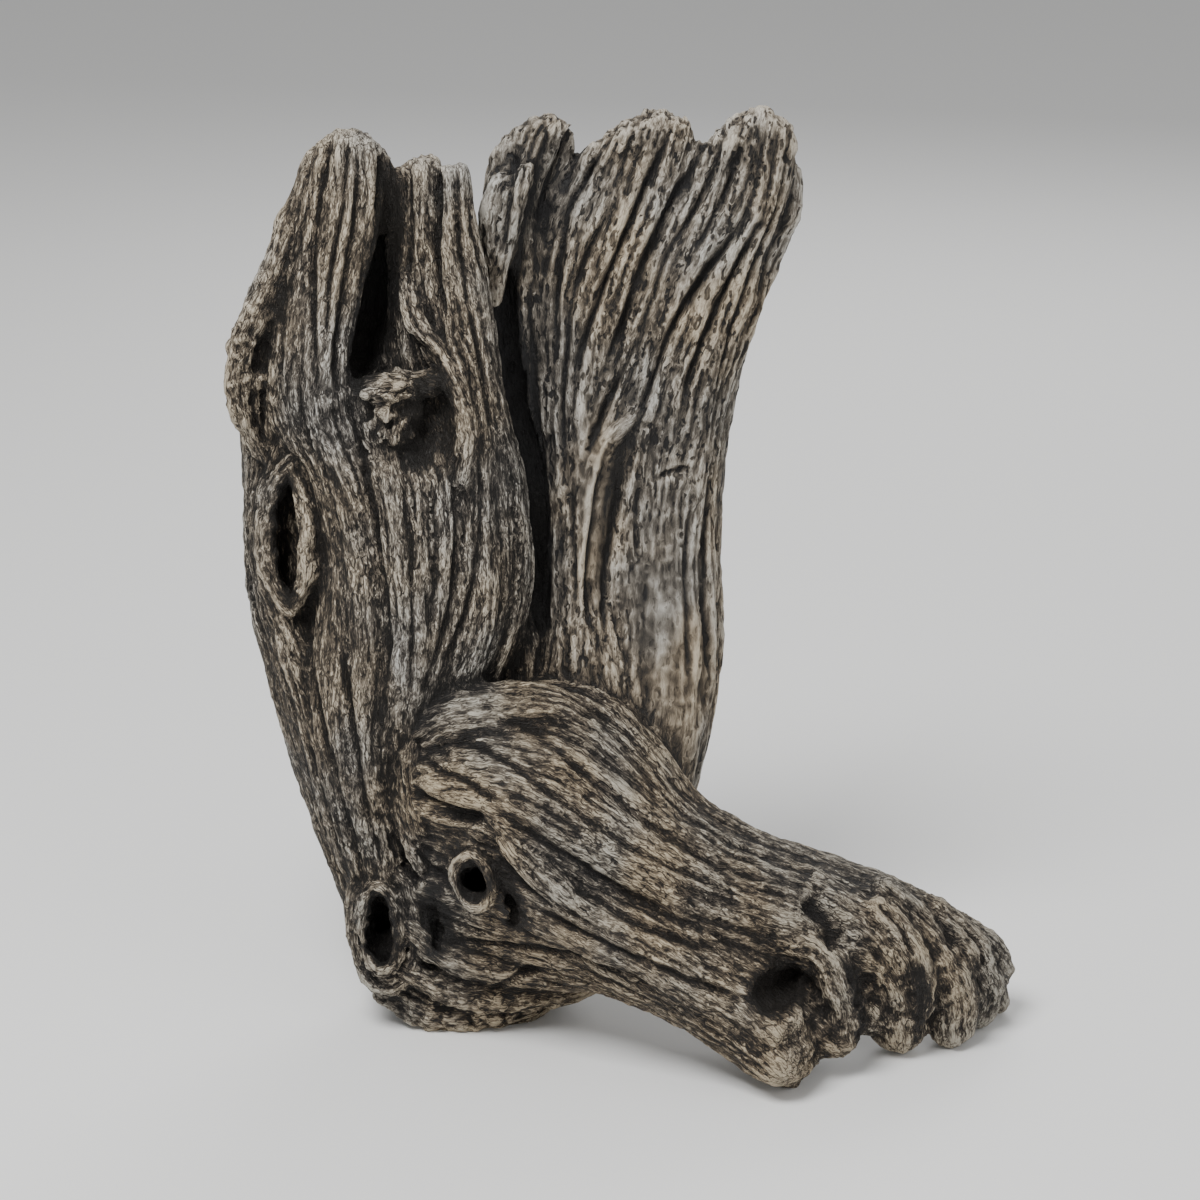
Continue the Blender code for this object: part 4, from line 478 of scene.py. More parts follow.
# Grooves pressed into the front: depth, half width and the line that each follows
LINES = (
    # the trunk
    (4.5, 1.6, ((-11, -3, 362), (-10, -9, 343), (-11, -11, 325), (-10, -13, 309), (-5, -16, 296))),
    (3, 1.5, ((-30, -9, 365), (-31, -13, 350), (-33, -15, 339))),
    (2.6, 1.3, ((-49, -13, 370), (-54, -15, 349), (-57, -18, 326), (-58, -22, 300), (-56, -27, 270))),
    (2.6, 1.3, ((-43, -14, 371), (-46, -18, 345), (-51, -21, 315), (-53, -25, 289))),
    (2.6, 1.3, ((-38, -15, 368), (-41, -18, 338), (-46, -21, 311), (-49, -24, 288), (-49, -28, 262))),
    (2.4, 1.2, ((-3, -7, 360), (-2, -12, 332), (1, -14, 306), (7, -18, 275), (11, -20, 248))),
    (2.2, 1.2, ((-21, -5, 358), (-20, -7, 332), (-22, -7, 312))),
    (2.4, 1.3, ((5, -22, 252), (6, -28, 222), (1, -33, 191), (-11, -34, 158))),
    (2.4, 1.3, ((-4, -26, 245), (-3, -33, 215), (-7, -37, 184), (-17, -36, 155))),
    (2.2, 1.3, ((-25, -31, 243), (-21, -40, 209), (-21, -41, 177), (-23, -37, 151))),
    (2.4, 1.3, ((-40, -28, 254), (-35, -35, 224), (-31, -38, 192), (-31, -37, 159))),
    (2.4, 1.4, ((-50, -32, 174), (-46, -33, 141), (-42, -30, 106), (-35, -26, 74))),
    (2.4, 1.4, ((-63, -19, 165), (-58, -26, 134), (-50, -26, 96), (-44, -24, 65))),
    (2.2, 1.3, ((-73, -18, 165), (-67, -20, 136), (-60, -20, 102), (-51, -18, 71))),
    # the slab
    (4.5, 1.7, ((109, 8, 334), (99, 6, 320), (90, 6, 307), (79, 5, 287), (71, 2, 265), (66, 1, 250))),
    (4, 1.6, ((78, 10, 365), (69, 8, 343), (59, 7, 319), (52, 7, 303), (46, 6, 287), (42, 5, 269))),
    (4, 1.6, ((113, 8, 330), (103, 6, 309), (97, 6, 296), (88, 5, 273), (84, 5, 257))),
    (3.2, 1.5, ((125, 10, 359), (122, 8, 338), (115, 8, 321), (108, 6, 301), (102, 5, 281), (98, 5, 261))),
    (3.5, 1.5, ((91, 14, 359), (83, 8, 344), (76, 7, 331), (68, 6, 313), (61, 5, 293), (54, 5, 273))),
    (5, 2.2, ((43, 16, 367), (37, 14, 355), (32, 12, 343), (29, 12, 328))),
    (2.8, 1.4, ((57, 14, 366), (47, 12, 349), (40, 12, 337), (36, 10, 316), (34, 9, 289))),
    (2.8, 1.4, ((57, 8, 337), (48, 8, 321), (41, 8, 301), (39, 7, 281), (37, 6, 253), (39, 2, 221))),
    (2.6, 1.3, ((100, 11, 365), (93, 10, 346), (87, 8, 334), (78, 8, 319), (72, 7, 301), (65, 6, 281))),
    (2.4, 1.3, ((109, 10, 367), (102, 8, 346), (95, 8, 332), (87, 7, 317))),
    (3, 1.4, ((68, 6, 289), (59, 6, 269), (52, 4, 253), (48, 1, 242))),
    (3, 1.4, ((55, 0, 240), (51, 0, 222), (48, -2, 197), (47, -6, 169))),
    (2.2, 1.2, ((41, 3, 229), (41, 0, 205), (42, -5, 178))),
    (3.2, 1.5, ((61, 4, 233), (57, 4, 212), (54, 1, 188), (54, -4, 165))),
    (1.6, 0.9, ((68, 5, 229), (66, 4, 208), (68, 3, 192))),
    (1.8, 1, ((74, 5, 229), (81, 6, 232), (88, 6, 233))),
    (1.6, 1, ((68, 2, 251), (73, 4, 251))),
    (2.8, 1.4, ((97, 9, 231), (94, 9, 202), (94, 7, 178), (95, 3, 154), (92, -4, 126))),
    (2.2, 1.3, ((89, 6, 220), (86, 5, 195), (87, 3, 171), (88, -2, 143))),
    (2.4, 1.3, ((21, 10, 359), (17, 0, 346), (15, 1, 322))),
    (2.2, 1.2, ((31, 12, 371), (24, 3, 355), (21, 0, 334))),
    (2.4, 1.3, ((25, 11, 300), (26, 11, 268), (28, 9, 235), (32, 4, 204))),
    # the foot
    (5, 3, ((-24, -40, 113), (-15, -46, 110), (-3, -50, 107), (8, -54, 108))),
    (3.4, 2, ((13, -54, 110), (25, -57, 103), (40, -60, 94), (56, -63, 84), (71, -68, 76), (91, -70, 67))),
    (1.8, 1.5, ((-11, -31, 134), (13, -48, 130), (36, -57, 117), (60, -60, 101), (83, -62, 89),
        (107, -62, 79))),
    (1.8, 1.5, ((4, -19, 144), (28, -40, 137), (52, -51, 120), (75, -54, 103), (99, -54, 89),
        (123, -57, 79))),
    (1.8, 1.5, ((36, -16, 150), (56, -31, 136), (72, -40, 119), (92, -40, 102), (115, -42, 89))),
    (5.5, 4, ((132, -55, 76), (140, -60, 68), (148, -67, 58))),
    (3.4, 2, ((25, -62, 74), (44, -69, 65), (68, -76, 57), (91, -81, 49), (110, -85, 44))),
    (3, 1.8, ((-8, -33, 46), (12, -45, 48), (36, -59, 51), (60, -70, 48), (83, -78, 39))),
    (3.5, 1.8, ((160, -48, 72), (171, -54, 63), (176, -57, 48))),
    (3.5, 1.8, ((178, -40, 64), (190, -40, 54), (197, -42, 42))),
    (3, 1.6, ((199, -30, 52), (207, -29, 43), (210, -29, 29))),
    (2.4, 1.6, ((-19, -38, 126), (-3, -49, 122), (13, -54, 115))),
    (2.4, 1.5, ((36, -66, 87), (60, -71, 74), (83, -74, 65), (103, -73, 60))),
    # the heel
    (3, 2, ((-14, -16, 19), (3, -13, 21), (24, -43, 36), (36, -52, 38))),
)


def mixed(at, start, end, first, last):
    return first + (last - first) * (at - start) / (end - start)


def step_lengths(path):
    return np.linalg.norm(np.diff(path[:, :3], axis=0), axis=1)


def smooth_path(points, step=PATH_STEP):
    """Points along a smooth curve through the given ones (a centripetal Catmull-Rom spline)."""
    inner = np.array(points, float)
    path = np.vstack([2 * inner[0] - inner[1], inner, 2 * inner[-1] - inner[-2]])
    lengths = step_lengths(path)
    knot = np.concatenate([[0.0], np.cumsum(np.sqrt(lengths))])
    found = []
    for i in range(1, len(path) - 2):
        count = max(2, math.ceil(lengths[i] / step))
        for t in np.linspace(knot[i], knot[i + 1], count, endpoint=False):
            a = [mixed(t, knot[j], knot[j + 1], path[j], path[j + 1]) for j in (i - 1, i, i + 1)]
            b = [mixed(t, knot[i + j - 1], knot[i + j + 1], a[j], a[j + 1]) for j in (0, 1)]
            found.append(mixed(t, knot[i], knot[i + 1], b[0], b[1]))
    return np.array([*found, inner[-1]])


def smooth_paths(table):
    return [smooth_path(points) for points in table.values()]


def evenly(path, count):
    """The path with this many points, the same distance apart."""
    run = np.concatenate([[0.0], np.cumsum(step_lengths(path))])
    wanted = np.linspace(0, run[-1], count)
    return np.stack([np.interp(wanted, run, column) for column in path.T], axis=1), wanted


def sheet(left, right, count, bulge, crown, rng, skip):
    """Fibres side by side between two guides, bulging towards the viewer, with a crown of uneven ends.

    The first fibres, as many as the skip says, are left out: another sheet has laid them.
    """
    first, _ = evenly(smooth_path(GUIDES[left], SHEET_STEP), SHEET_POINTS)
    last, _ = evenly(smooth_path(GUIDES[right], SHEET_STEP), SHEET_POINTS)
    near_end = np.clip(1 - np.arange(SHEET_POINTS) / END_POINTS, 0, 1)[:, None]
    fibres = []
    for share in np.linspace(0, 1, count)[skip:]:
        path = first * (1 - share) + last * share
        hump = 4 * share * (1 - share)
        path[:, 1] -= bulge * hump
        path[:, 3] *= rng.uniform(THINNEST, THICKEST)
        path[:, 1] += rng.uniform(-STRAY_DEPTH, STRAY_DEPTH)
        outwards = path[0, :3] - path[3, :3]
        outwards /= np.linalg.norm(outwards)
        longer = crown * hump + rng.uniform(SHORTEST_END, LONGEST_END)
        path[:, :3] += outwards * longer * near_end
        fibres.append(path)
    return fibres


def ring_path(centre, half_width, half_height, radius, tilt):
    """A closed loop round a knot. The tilt is how far it comes forward per millimetre to the left."""
    x, y, z = centre
    turn = np.linspace(0, 2 * math.pi, RING_SIDES, endpoint=False)
    across = half_width * np.cos(turn)
    uneven = 1 + LUMP_SHARE * np.sin(RING_LUMPS * turn)
    return np.c_[x + across, y + tilt * across, z + half_height * np.sin(turn), radius * uneven]


def knob_balls():
    """Small balls strewn round each burl: centre and radius."""
    rng = np.random.default_rng(SEED)
    balls = []
    for centre, spread_x, spread_z, count, radius in KNOBS:
        for _ in range(count):
            x, z = np.clip(rng.normal(0, KNOB_SCATTER, 2), -KNOB_REACH, KNOB_REACH)
            place = np.array(centre) + (spread_x * x, rng.uniform(KNOB_OUT, KNOB_IN), spread_z * z)
            balls.append((place, radius * rng.uniform(KNOB_SMALLEST, KNOB_LARGEST)))
    return balls


def rounded_ends(path):
    """The path with a half-ball added at each end."""

    def ball(end, inner):
        outwards = (end[:3] - inner[:3]) / np.linalg.norm(end[:3] - inner[:3])
        return [
            np.append(end[:3] + outwards * end[3] * share, end[3] * math.sqrt(1 - share**2))
            for share in ROUND_END
        ]

    return np.vstack([ball(path[0], path[1])[::-1], path, ball(path[-1], path[-2])])


def linked(name, data):
    obj = bpy.data.objects.new(name, data)
    bpy.context.scene.collection.objects.link(obj)
    return obj


def tube(path, closed=False):
    """A curve object along the path, with the path's own radius at each point."""
    if not closed:
        path = rounded_ends(path)
    curve = bpy.data.curves.new("fibre", "CURVE")
    curve.dimensions = "3D"
    spline = curve.splines.new("POLY")
    spline.points.add(len(path) - 1)
    spline.points.foreach_set("co", np.c_[path[:, :3] * MM, np.ones(len(path))].ravel())
    spline.points.foreach_set("radius", path[:, 3] * MM)
    spline.use_cyclic_u = closed
    curve.bevel_depth = 1.0
    curve.bevel_resolution = FIBRE_SIDES
    curve.use_fill_caps = not closed
    return linked("fibre", curve)


def evaluated_mesh(obj):
    bpy.context.view_layer.update()
    graph = bpy.context.evaluated_depsgraph_get()
    return bpy.data.meshes.new_from_object(obj.evaluated_get(graph))


def modified(obj, kind, **settings):
    """Replaces the object's mesh by what one modifier with these settings makes of it."""
    modifier = obj.modifiers.new(kind, kind)
    for key, value in settings.items():
        setattr(modifier, key, value)
    mesh = evaluated_mesh(obj)
    obj.modifiers.clear()
    obj.data = mesh
    return mesh


def mesh_from(shaped, name):
    mesh = bpy.data.meshes.new(name)
    shaped.to_mesh(mesh)
    shaped.free()
    return mesh


def fused(name, paths, loops=(), balls=(), base=None, voxel=VOXEL):
    """One object from tubes, balls and the mesh of another object, fused on a voxel grid."""
    tubes = [tube(path) for path in paths] + [tube(path, closed=True) for path in loops]
    joined = bmesh.new()
    if base:
        joined.from_mesh(base.data)
        bpy.data.objects.remove(base)
    bpy.context.view_layer.update()
    for obj in tubes:
        welded = bmesh.new()
        welded.from_mesh(evaluated_mesh(obj))
        welded.transform(obj.matrix_world)
        bmesh.ops.remove_doubles(welded, verts=welded.verts, dist=WELD)
        joined.from_mesh(mesh_from(welded, "fibre"))
        bpy.data.objects.remove(obj)
    for place, radius in balls:
        at = Matrix.Translation(Vector(place) * MM)
        bmesh.ops.create_icosphere(joined, subdivisions=2, radius=radius * MM, matrix=at)
    whole = linked(name, mesh_from(joined, name))
    modified(whole, "REMESH", mode="VOXEL", voxel_size=voxel * MM)
    return whole


def keep_largest(mesh):
    """Deletes every loose shell but the largest, such as the walls of a space shut inside the wood."""
    edges = read(mesh.edges, "vertices", 2, np.int32)
    shell = np.arange(len(mesh.vertices))
    while True:
        lowest = shell.copy()
        np.minimum.at(lowest, edges[:, 0], shell[edges[:, 1]])
        np.minimum.at(lowest, edges[:, 1], shell[edges[:, 0]])
        lowest = lowest[lowest]
        if (lowest == shell).all():
            break
        shell = lowest
    largest = np.bincount(shell).argmax()
    shaped = bmesh.new()
    shaped.from_mesh(mesh)
    loose = [vert for vert, group in zip(shaped.verts, shell) if group != largest]
    bmesh.ops.delete(shaped, geom=loose, context="VERTS")
    shaped.to_mesh(mesh)
    shaped.free()


def read(items, name, width, kind=np.float32):
    """An attribute of all vertices, edges or faces as an array with this many columns."""
    values = np.empty(len(items) * width, kind)
    items.foreach_get(name, values)
    return values.reshape(-1, width)


def grain_frames(fibres):
    """Points along every fibre, each with its direction, two directions across and the length run."""
    rows = []
    for number, fibre in enumerate(fibres):
        path, run = evenly(fibre, max(FEWEST_STEPS, int(step_lengths(fibre).sum() / GRAIN_STEP)))
        along = np.gradient(path[:, :3], axis=0)
        along /= np.linalg.norm(along, axis=1)[:, None]
        side = np.array(FIRST_SIDE)
        sides = []
        for direction in along:
            side = side - direction * (side @ direction)
            side /= np.linalg.norm(side)
            sides.append(side)
        sides = np.array(sides)
        rows.append(np.c_[path, along, sides, np.cross(along, sides), run, np.full(len(run), number)])
    return np.vstack(rows)


def nearest_frames(points, frames):
    """The row of the grain that each point belongs to."""
    rows = np.empty(len(points), int)
    weight = (frames[:, :3] ** 2).sum(1) - frames[:, 3] ** 2
    for i in range(0, len(points), ROWS_AT_ONCE):
        some = points[i : i + ROWS_AT_ONCE]
        rows[i : i + ROWS_AT_ONCE] = np.argmin(weight - 2 * some @ frames[:, :3].T, axis=1)
    return frames[rows]


def in_grain(points, frame):
    """Two distances across the grain and the length along it, for each point in its row."""
    offset = points - frame[:, :3]
    across = [(offset * frame[:, at : at + 3]).sum(1) for at in (7, 10)]
    return np.stack([*across, (offset * frame[:, 4:7]).sum(1) + frame[:, 13]], axis=1)


def grain_at(points, frames):
    """The same in each point's nearest row, and the number of its fibre."""
    frame = nearest_frames(points, frames)
    return np.c_[in_grain(points, frame), frame[:, 14]]


def spots(points, places, start=0.0):
    """The start plus each place's amount, which fades away from its centre."""
    total = np.full(len(points), start)
    for centre, reach, amount in places:
        total += amount * nearness(points, centre, reach)
    return total


def nearness(points, centre, reach):
    return np.exp(-(((points - centre) / reach) ** 2).sum(1))


def liveliness(points):
    """How high the ribs are at each point, as a share: less in the smoother places."""
    share = np.ones(len(points))
    for centre, reach, left_out in CALM:
        share *= 1 - left_out * nearness(points, centre, reach)
    fade = [noise.noise(point) for point in points / FADE_PATCH]
    return share * mixed(np.array(fade), NOISE_LOW, NOISE_HIGH, FADE_LEAST, FADE_MOST)


def near_line(points, line, reach):
    """The numbers of the points in the line's box, grown by the reach."""
    return np.flatnonzero(((points > line.min(0) - reach) & (points < line.max(0) + reach)).all(1))


def line_depth(points, normals):
    """How deep the drawn-in grooves press into the front at each point."""
    depth = np.zeros(len(points))
    facing = np.clip(-FRONT_GAIN * normals[:, 1] - FRONT_FROM, 0, 1)
    squash = np.array([1.0, 1 / LINE_DEEPENS, 1.0])
    for deep, half_width, corners in LINES:
        line = smooth_path(corners, LINE_STEP)
        near = near_line(points, line, LINE_REACH * half_width / squash)
        gaps = (((points[near, None] - line[None]) * squash) ** 2).sum(2)
        share = gaps.argmin(1) / (len(line) - 1)
        taper = np.clip(END_FADE * np.minimum(share, 1 - share), LEAST_FADE, 1)
        dent = deep * taper * np.exp(-gaps.min(1) / half_width**2)
        depth[near] = np.maximum(depth[near], dent)
    return depth * facing


def all_fibres():
    """Every fibre, and for each the part of the wood that it is in."""
    rng = np.random.default_rng(SEED)
    in_sheets = {name for row in SHEETS for name in row[:2]}
    single = [name for name in GUIDES if name not in in_sheets]
    fibres = [smooth_path(GUIDES[name]) for name in single]
    places = [place_of(name) for name in single]
    laid = set()
    for left, right, count, bulge, crown in SHEETS:
        found = sheet(left, right, count, bulge, crown, rng, int(left in laid))
        fibres += found
        places += [place_of(left)] * len(found)
        laid |= {left, right}
    return fibres, places


def place_of(name):
    """0 for the trunk, 1 for the slab and 2 for the foot."""
    if any(word in name for word in SLAB_WORDS):
        return 1
    if any(word in name for word in FOOT_WORDS):
        return 2
    return 0


def rib_height(points, grain):
    """Rounded ribs with sharp valleys between them, drawn out along the grain."""
    heights = np.empty(len(points))
    for i, ((x, y, z), (a, b, s, fibre)) in enumerate(zip(points, grain)):
        waver = WAVER * noise.noise((x / WAVER_ACROSS, y / WAVER_ACROSS, z / WAVER_UP))
        total = 0.0
        for order, (spacing, length, height) in enumerate(SKIN_RIBS):
            across = a / spacing + WAVER_SHARE * waver + RIB_APART * order
            at = (across, b / spacing + FIBRE_APART * fibre, s / length)
            total += height * (min(abs(noise.noise(at)), RIB_LIMIT) - RIB_LEVEL)
        heights[i] = total
    return heights * liveliness(points)


def lump_height(points):
    """Lumps and pits all over, higher at the rough places."""
    heights = np.zeros(len(points))
    for size, height in LUMPS:
        heights += [height * noise.noise(point) for point in points / size]
    return heights * spots(points, ROUGH, ROUGH_LEAST)


def carved(mesh, frames):
    """Moves each vertex along its normal by the ribs and the grooves, and flattens it at the ground."""
    points = read(mesh.vertices, "co", 3).astype(float) / MM
    normals = read(mesh.vertex_normals, "vector", 3)
    grain = grain_at(points, frames)
    height = rib_height(points, grain) + lump_height(points) - line_depth(points, normals)
    points += normals * height[:, None]
    points[:, 2] = np.maximum(points[:, 2], 0)
    mesh.vertices.foreach_set("co", (points * MM).astype(np.float32).ravel())
    mesh.update()


def neighbour_mean(values, edges, rounds):
    """The values after this many rounds of moving each one to the mean of its neighbours."""
    count = np.bincount(edges.ravel(), minlength=len(values))
    for _ in range(rounds):
        columns = []
        for column in values.T:
            total = np.bincount(edges[:, 0], column[edges[:, 1]], len(values))
            total += np.bincount(edges[:, 1], column[edges[:, 0]], len(values))
            columns.append(0.5 * column + 0.5 * total / count)
        values = np.stack(columns, axis=1)
    return values


def store(mesh, name, values):
    """A named value at each vertex."""
    attribute = mesh.attributes.new(name, "FLOAT", "POINT")
    attribute.data.foreach_set("value", values.astype(np.float32))


def hollow_shading(points):
    """How deep in a slot, cleft or hole each point is: there the material paints shade, nearly black."""
    hollow_shade = np.zeros(len(points))
    for name, corners in HOLLOWS.items():
        if name in UNSHADED_HOLLOWS:
            continue
        line = smooth_path(corners, LINE_STEP)
        near = near_line(points, line[:, :3], line[:, 3].max() + 2 * HOLLOW_SHADE_REACH)
        away = np.linalg.norm(points[near, None] - line[None, :, :3], axis=2) - line[None, :, 3]
        hollow_shade[near] = np.maximum(hollow_shade[near], np.clip(HOLLOW_SHADE_START - away.min(1) / HOLLOW_SHADE_REACH, 0, 1))
    return hollow_shade


def measure_skin(mesh, frames, places):
    """Stores what the material reads: the grain's coordinates, how sunk a vertex is and how deep in a hollow,
    both for painted shade, and where it lies.
    """
    points = read(mesh.vertices, "co", 3).astype(float) / MM
    normals = read(mesh.vertex_normals, "vector", 3).astype(float)
    edges = read(mesh.edges, "vertices", 2, np.int32)
    corners = read(mesh.loops, "vertex_index", 1, np.int32)[:, 0].reshape(-1, 3)

    grain = grain_at(points, frames)
    own = nearest_frames(points[corners].mean(1), frames)
    values = []
    for vertex in corners.T:
        shifted = in_grain(points[vertex], own)
        same = grain[vertex, 3] == own[:, 14]
        shifted[same] = grain[vertex[same], :3]
        shifted[:, 0] += FIBRE_OFFSET * own[:, 14]
        values.append(shifted)
    attribute = mesh.attributes.new("grain", "FLOAT_VECTOR", "CORNER")
    attribute.data.foreach_set("vector", np.stack(values, axis=1).astype(np.float32).ravel())

    # Painted shade: the more sunk a vertex is below its neighbours, the darker it is painted
    sunk = np.zeros(len(points))
    for rounds, limit, share in SUNK_SCALES:
        mean = neighbour_mean(points, edges, rounds)
        sunk += share * np.clip(((mean - points) * normals).sum(1) / limit, -1, 1)
    store(mesh, "sunk", sunk)
    # How deep in a hollow each vertex is: painted shade there
    store(mesh, "hollow_shade", hollow_shading(points))
    # Paler and darker spots, partly painted light and shadow
    store(mesh, "shade", spots(points, SHADES))

    place = places[grain[:, 3].astype(int)]
    kinds = np.stack([place == 1, place == 2], axis=1).astype(float)
    kinds = neighbour_mean(kinds, edges, PLACE_ROUNDS)
    low = np.clip((LOW_TRUNK_TOP - points[:, 2]) / LOW_TRUNK_TOP, 0, 1)
    store(mesh, "slab", kinds[:, 0])
    store(mesh, "foot", np.clip(kinds[:, 1] + low * (1 - kinds[:, 0]), 0, 1))
    calm = [nearness(points, centre, reach) for centre, reach in PLAIN]
    store(mesh, "calm", np.max(calm, axis=0) * kinds[:, 0])


class Nodes:
    """Short calls for the nodes of one material."""

    def __init__(self, name):
        self.material = bpy.data.materials.new(name)
        self.material.use_nodes = True
        self.tree = self.material.node_tree
        self.shader = self.tree.nodes["Principled BSDF"]

    def join(self, value, socket):
        if isinstance(value, bpy.types.NodeSocket):
            self.tree.links.new(value, socket)
        else:
            socket.default_value = value

    def add(self, kind, values, **settings):
        made = self.tree.nodes.new("ShaderNode" + kind)
        for key, value in settings.items():
            setattr(made, key, value)
        for key, value in values.items():
            self.join(value, made.inputs[key])
        return made

    def read(self, name, output="Fac"):
        return self.add("Attribute", {}, attribute_name=name).outputs[output]

    def math(self, operation, *values):
        return self.add("Math", dict(enumerate(values)), operation=operation).outputs[0]

    def vectors(self, operation, first, second):
        return self.add("VectorMath", {0: first, 1: second}, operation=operation).outputs[0]

    def plus(self, total, value, share, level=0.0):
        """The total with this share of the value, counted from the level."""
        made = self.math("MULTIPLY_ADD", value, share, -level * share)
        return made if total is None else self.math("ADD", total, made)

    def noise(self, vector, scales, detail, roughness=0.55, distortion=0.0):
        values = {"Vector": self.vectors("MULTIPLY", vector, scales), "Scale": 1.0, "Detail": detail,
            "Roughness": roughness, "Distortion": distortion}
        return self.add("TexNoise", values).outputs["Fac"]

    def cells(self, vector, scales):
        """How far each point is from the edge of its cell."""
        values = {"Vector": self.vectors("MULTIPLY", vector, scales), "Scale": 1.0}
        return self.add("TexVoronoi", values, feature="DISTANCE_TO_EDGE").outputs["Distance"]

    def span(self, value, low, high, start=0.0, end=1.0, kind="SMOOTHSTEP"):
        values = {"Value": value, "From Min": low, "From Max": high, "To Min": start, "To Max": end}
        return self.add("MapRange", values, interpolation_type=kind).outputs[0]

    def mix(self, share, first, second, blend="MIX"):
        """A colour mix: its sockets are 0, 6 and 7, and 2 on the way out."""
        values = {0: share, 6: first, 7: second}
        return self.add("Mix", values, data_type="RGBA", blend_type=blend).outputs[2]

    def ramp(self, tone, colours):
        """A colour for each tone, from the darkest to the palest."""
        low, high = TONES[0], TONES[-1]
        made = self.add("ValToRGB", {"Fac": self.span(tone, low, high, kind="LINEAR")})
        stops = made.color_ramp.elements
        while len(stops) < len(TONES):
            stops.new(0.5)
        for stop, at, colour in zip(stops, TONES, colours):
            stop.position = (at - low) / (high - low)
            stop.color = (*colour, 1)
        return made.outputs["Color"]


def wood_material():
    wood = Nodes("weathered_wood")
    layer = {name: wood.read(name) for name in ("slab", "foot", "calm", "sunk", "shade", "hollow_shade")}
    place = wood.add("TexCoord", {}).outputs["Object"]
    push = wood.add("TexNoise", {"Vector": place, "Scale": PUSH_SCALE, "Detail": 2.0}).outputs["Color"]
    push = wood.vectors("MULTIPLY", wood.vectors("SUBTRACT", push, (0.5, 0.5, 0.5)), PUSH)
    grain = wood.vectors("ADD", wood.read("grain", "Vector"), push)

    layer |= {name: wood.noise(grain, *look) for name, look in GRAIN_NOISES.items()}
    layer |= {name: wood.noise(place, *look) for name, look in PLACE_NOISES.items()}
    crack = wood.span(wood.cells(grain, CRACK_CELLS), 0.0, CRACK_WIDTH, 1.0, 0.0)
    layer["crack"] = wood.math("MULTIPLY", crack, wood.span(layer["patch"], *CRACKED))
    layer["dash"] = wood.math("MULTIPLY", wood.span(layer["dash"], *DASHED), layer["slab"])

    def raised(total, *names):
        for name in names:
            total = wood.plus(total, layer[name], *SHARES[name])
        return total

    relief = raised(None, "streak", "hair", "band", "crack")
    relief = wood.math("MULTIPLY", relief, wood.span(layer["slab"], 0.0, 1.0, 1.0, SLAB_RELIEF))
    relief = raised(relief, "dash")
    relief = wood.math("MULTIPLY", relief, wood.span(layer["calm"], *CALMED, 1.0, CALM_RELIEF))
    tone = raised(relief, "patch", "speck", "slab")
    tone = wood.math("MULTIPLY", tone, wood.span(layer["calm"], *CALMED, 1.0, CALM_TONE))
    # Painted shade: darker where the skin is sunk and deep in the slots, clefts and holes; the shade spots are
    # partly painted light
    tone = raised(tone, "sunk", "shade", "hollow_shade")

    colour = wood.mix(layer["slab"], wood.ramp(tone, TRUNK_COLOURS), wood.ramp(tone, SLAB_COLOURS))
    colour = wood.mix(layer["foot"], colour, wood.ramp(tone, FOOT_COLOURS))
    warmth = wood.mix(wood.span(layer["tint"], *TINTED), COOL, WARM)
    wood.join(wood.mix(1.0, colour, warmth, "MULTIPLY"), wood.shader.inputs["Base Color"])
    wood.join(wood.span(tone, *ROUGHENED), wood.shader.inputs["Roughness"])
    wood.shader.inputs["Metallic"].default_value = 0.0
    wood.shader.inputs["Specular IOR Level"].default_value = SHINE
    height = wood.span(relief, *BUMP_RANGE, kind="LINEAR")
    bump = wood.add("Bump", {"Strength": 1.0, "Distance": BUMP, "Height": height})
    wood.join(bump.outputs[0], wood.shader.inputs["Normal"])
    return wood.material


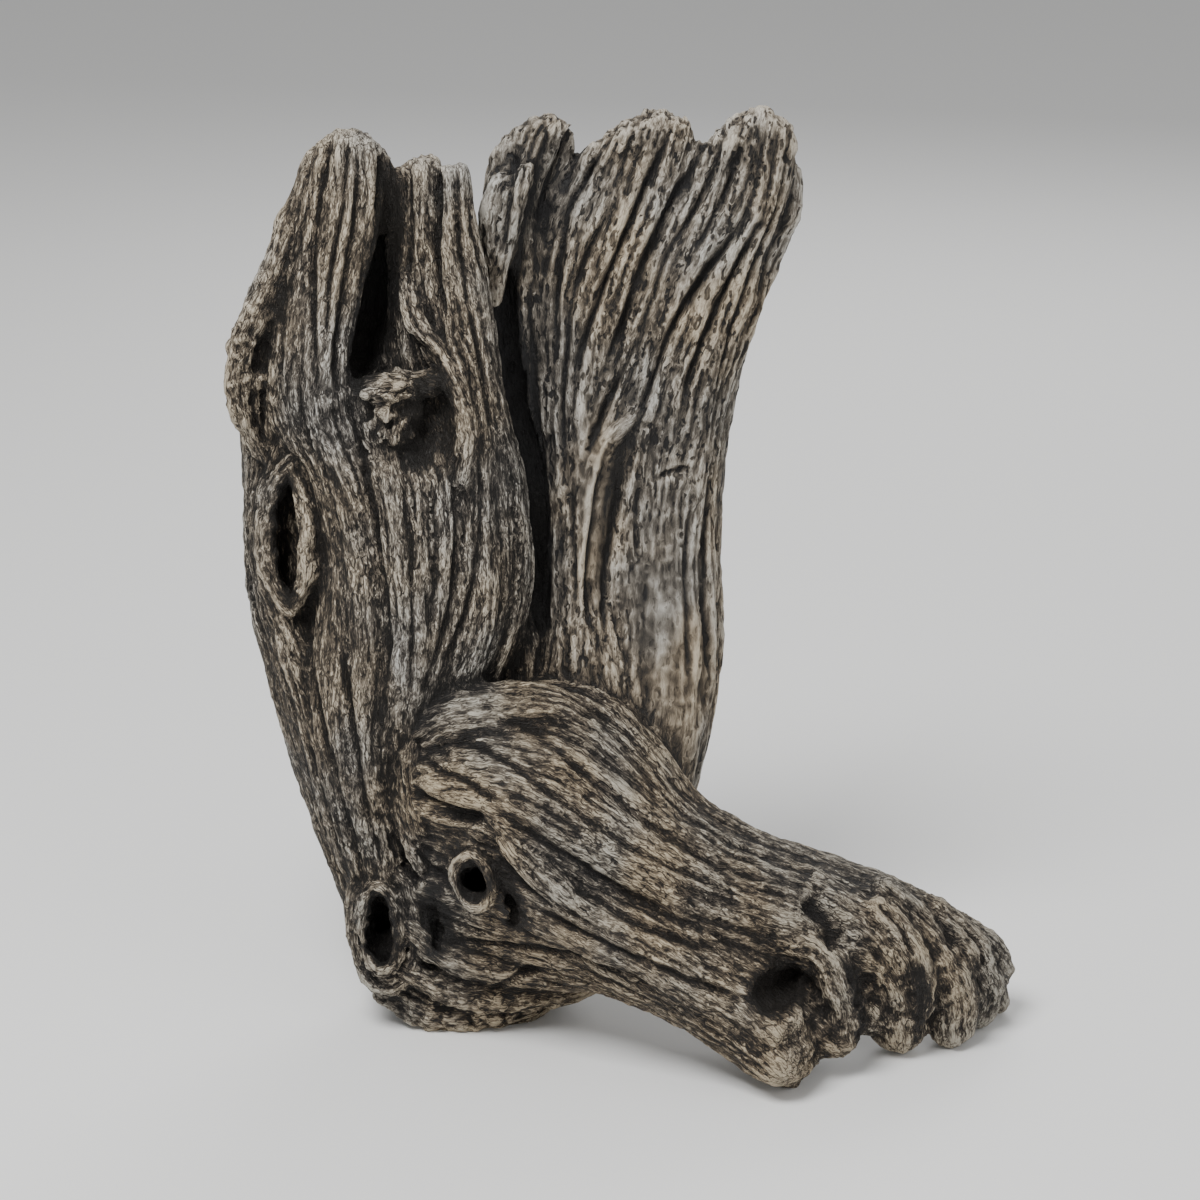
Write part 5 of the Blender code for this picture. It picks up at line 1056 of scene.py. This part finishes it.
def skin():
    """The wood's skin as one object."""
    fibres, places = all_fibres()
    body = fused("body", fibres + smooth_paths(TOPS))
    hollows = fused("hollows", smooth_paths(HOLLOWS))
    modified(body, "BOOLEAN", operation="DIFFERENCE", solver="EXACT", object=hollows)
    bpy.data.objects.remove(hollows)
    burls = smooth_paths(BURLS)
    rings = [ring_path(*ring) for ring in RINGS.values()]
    wood = fused("driftwood_skin", burls, rings, knob_balls(), base=body, voxel=SKIN_VOXEL)
    mesh = modified(wood, "SMOOTH", factor=SMOOTH_SHARE, iterations=SMOOTH_ROUNDS)
    keep_largest(mesh)

    frames = grain_frames(fibres + burls + [np.vstack([ring, ring[:1]]) for ring in rings])
    places = np.array(places + [0] * (len(burls) + len(rings)))
    carved(mesh, frames)
    ratio = MOST_TRIANGLES / (2 * len(mesh.polygons))
    mesh = modified(wood, "DECIMATE", ratio=ratio, use_collapse_triangulate=True)
    measure_skin(mesh, frames, places)
    mesh.shade_smooth()
    mesh.materials.clear()
    mesh.materials.append(wood_material())
    return wood


def floor():
    bpy.ops.mesh.primitive_plane_add(size=FLOOR_SIZE, location=(0, 0, 0))
    plane = bpy.context.active_object
    plane.name = "floor"
    nodes = Nodes("floor")
    nodes.shader.inputs["Base Color"].default_value = FLOOR_COLOUR
    nodes.shader.inputs["Roughness"].default_value = FLOOR_ROUGHNESS
    plane.data.materials.append(nodes.material)


def aimed(name, data, place):
    """A lamp or camera at the place, turned to the camera's target."""
    obj = linked(name, data)
    obj.location = place
    obj.rotation_mode = "QUATERNION"
    obj.rotation_quaternion = (Vector(CAMERA_TARGET) - Vector(place)).to_track_quat("-Z", "Y")
    return obj


def studio():
    world = bpy.data.worlds.new("studio")
    world.use_nodes = True
    background = world.node_tree.nodes["Background"]
    background.inputs["Color"].default_value = (1, 1, 1, 1)
    background.inputs["Strength"].default_value = WORLD_LIGHT
    bpy.context.scene.world = world
    for name, (place, size, power) in LAMPS.items():
        lamp = bpy.data.lights.new(name, "AREA")
        lamp.size = size
        lamp.energy = power
        aimed(name, lamp, place)
    data = bpy.data.cameras.new("camera")
    data.sensor_width = CAMERA_SENSOR
    data.lens = CAMERA_LENS
    back = Vector((0, -math.cos(CAMERA_HEIGHT), math.sin(CAMERA_HEIGHT)))
    bpy.context.scene.camera = aimed("camera", data, Vector(CAMERA_TARGET) + back * CAMERA_DISTANCE)


studio()
floor()
piece = skin()
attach(piece, "root")
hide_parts("driftwood")
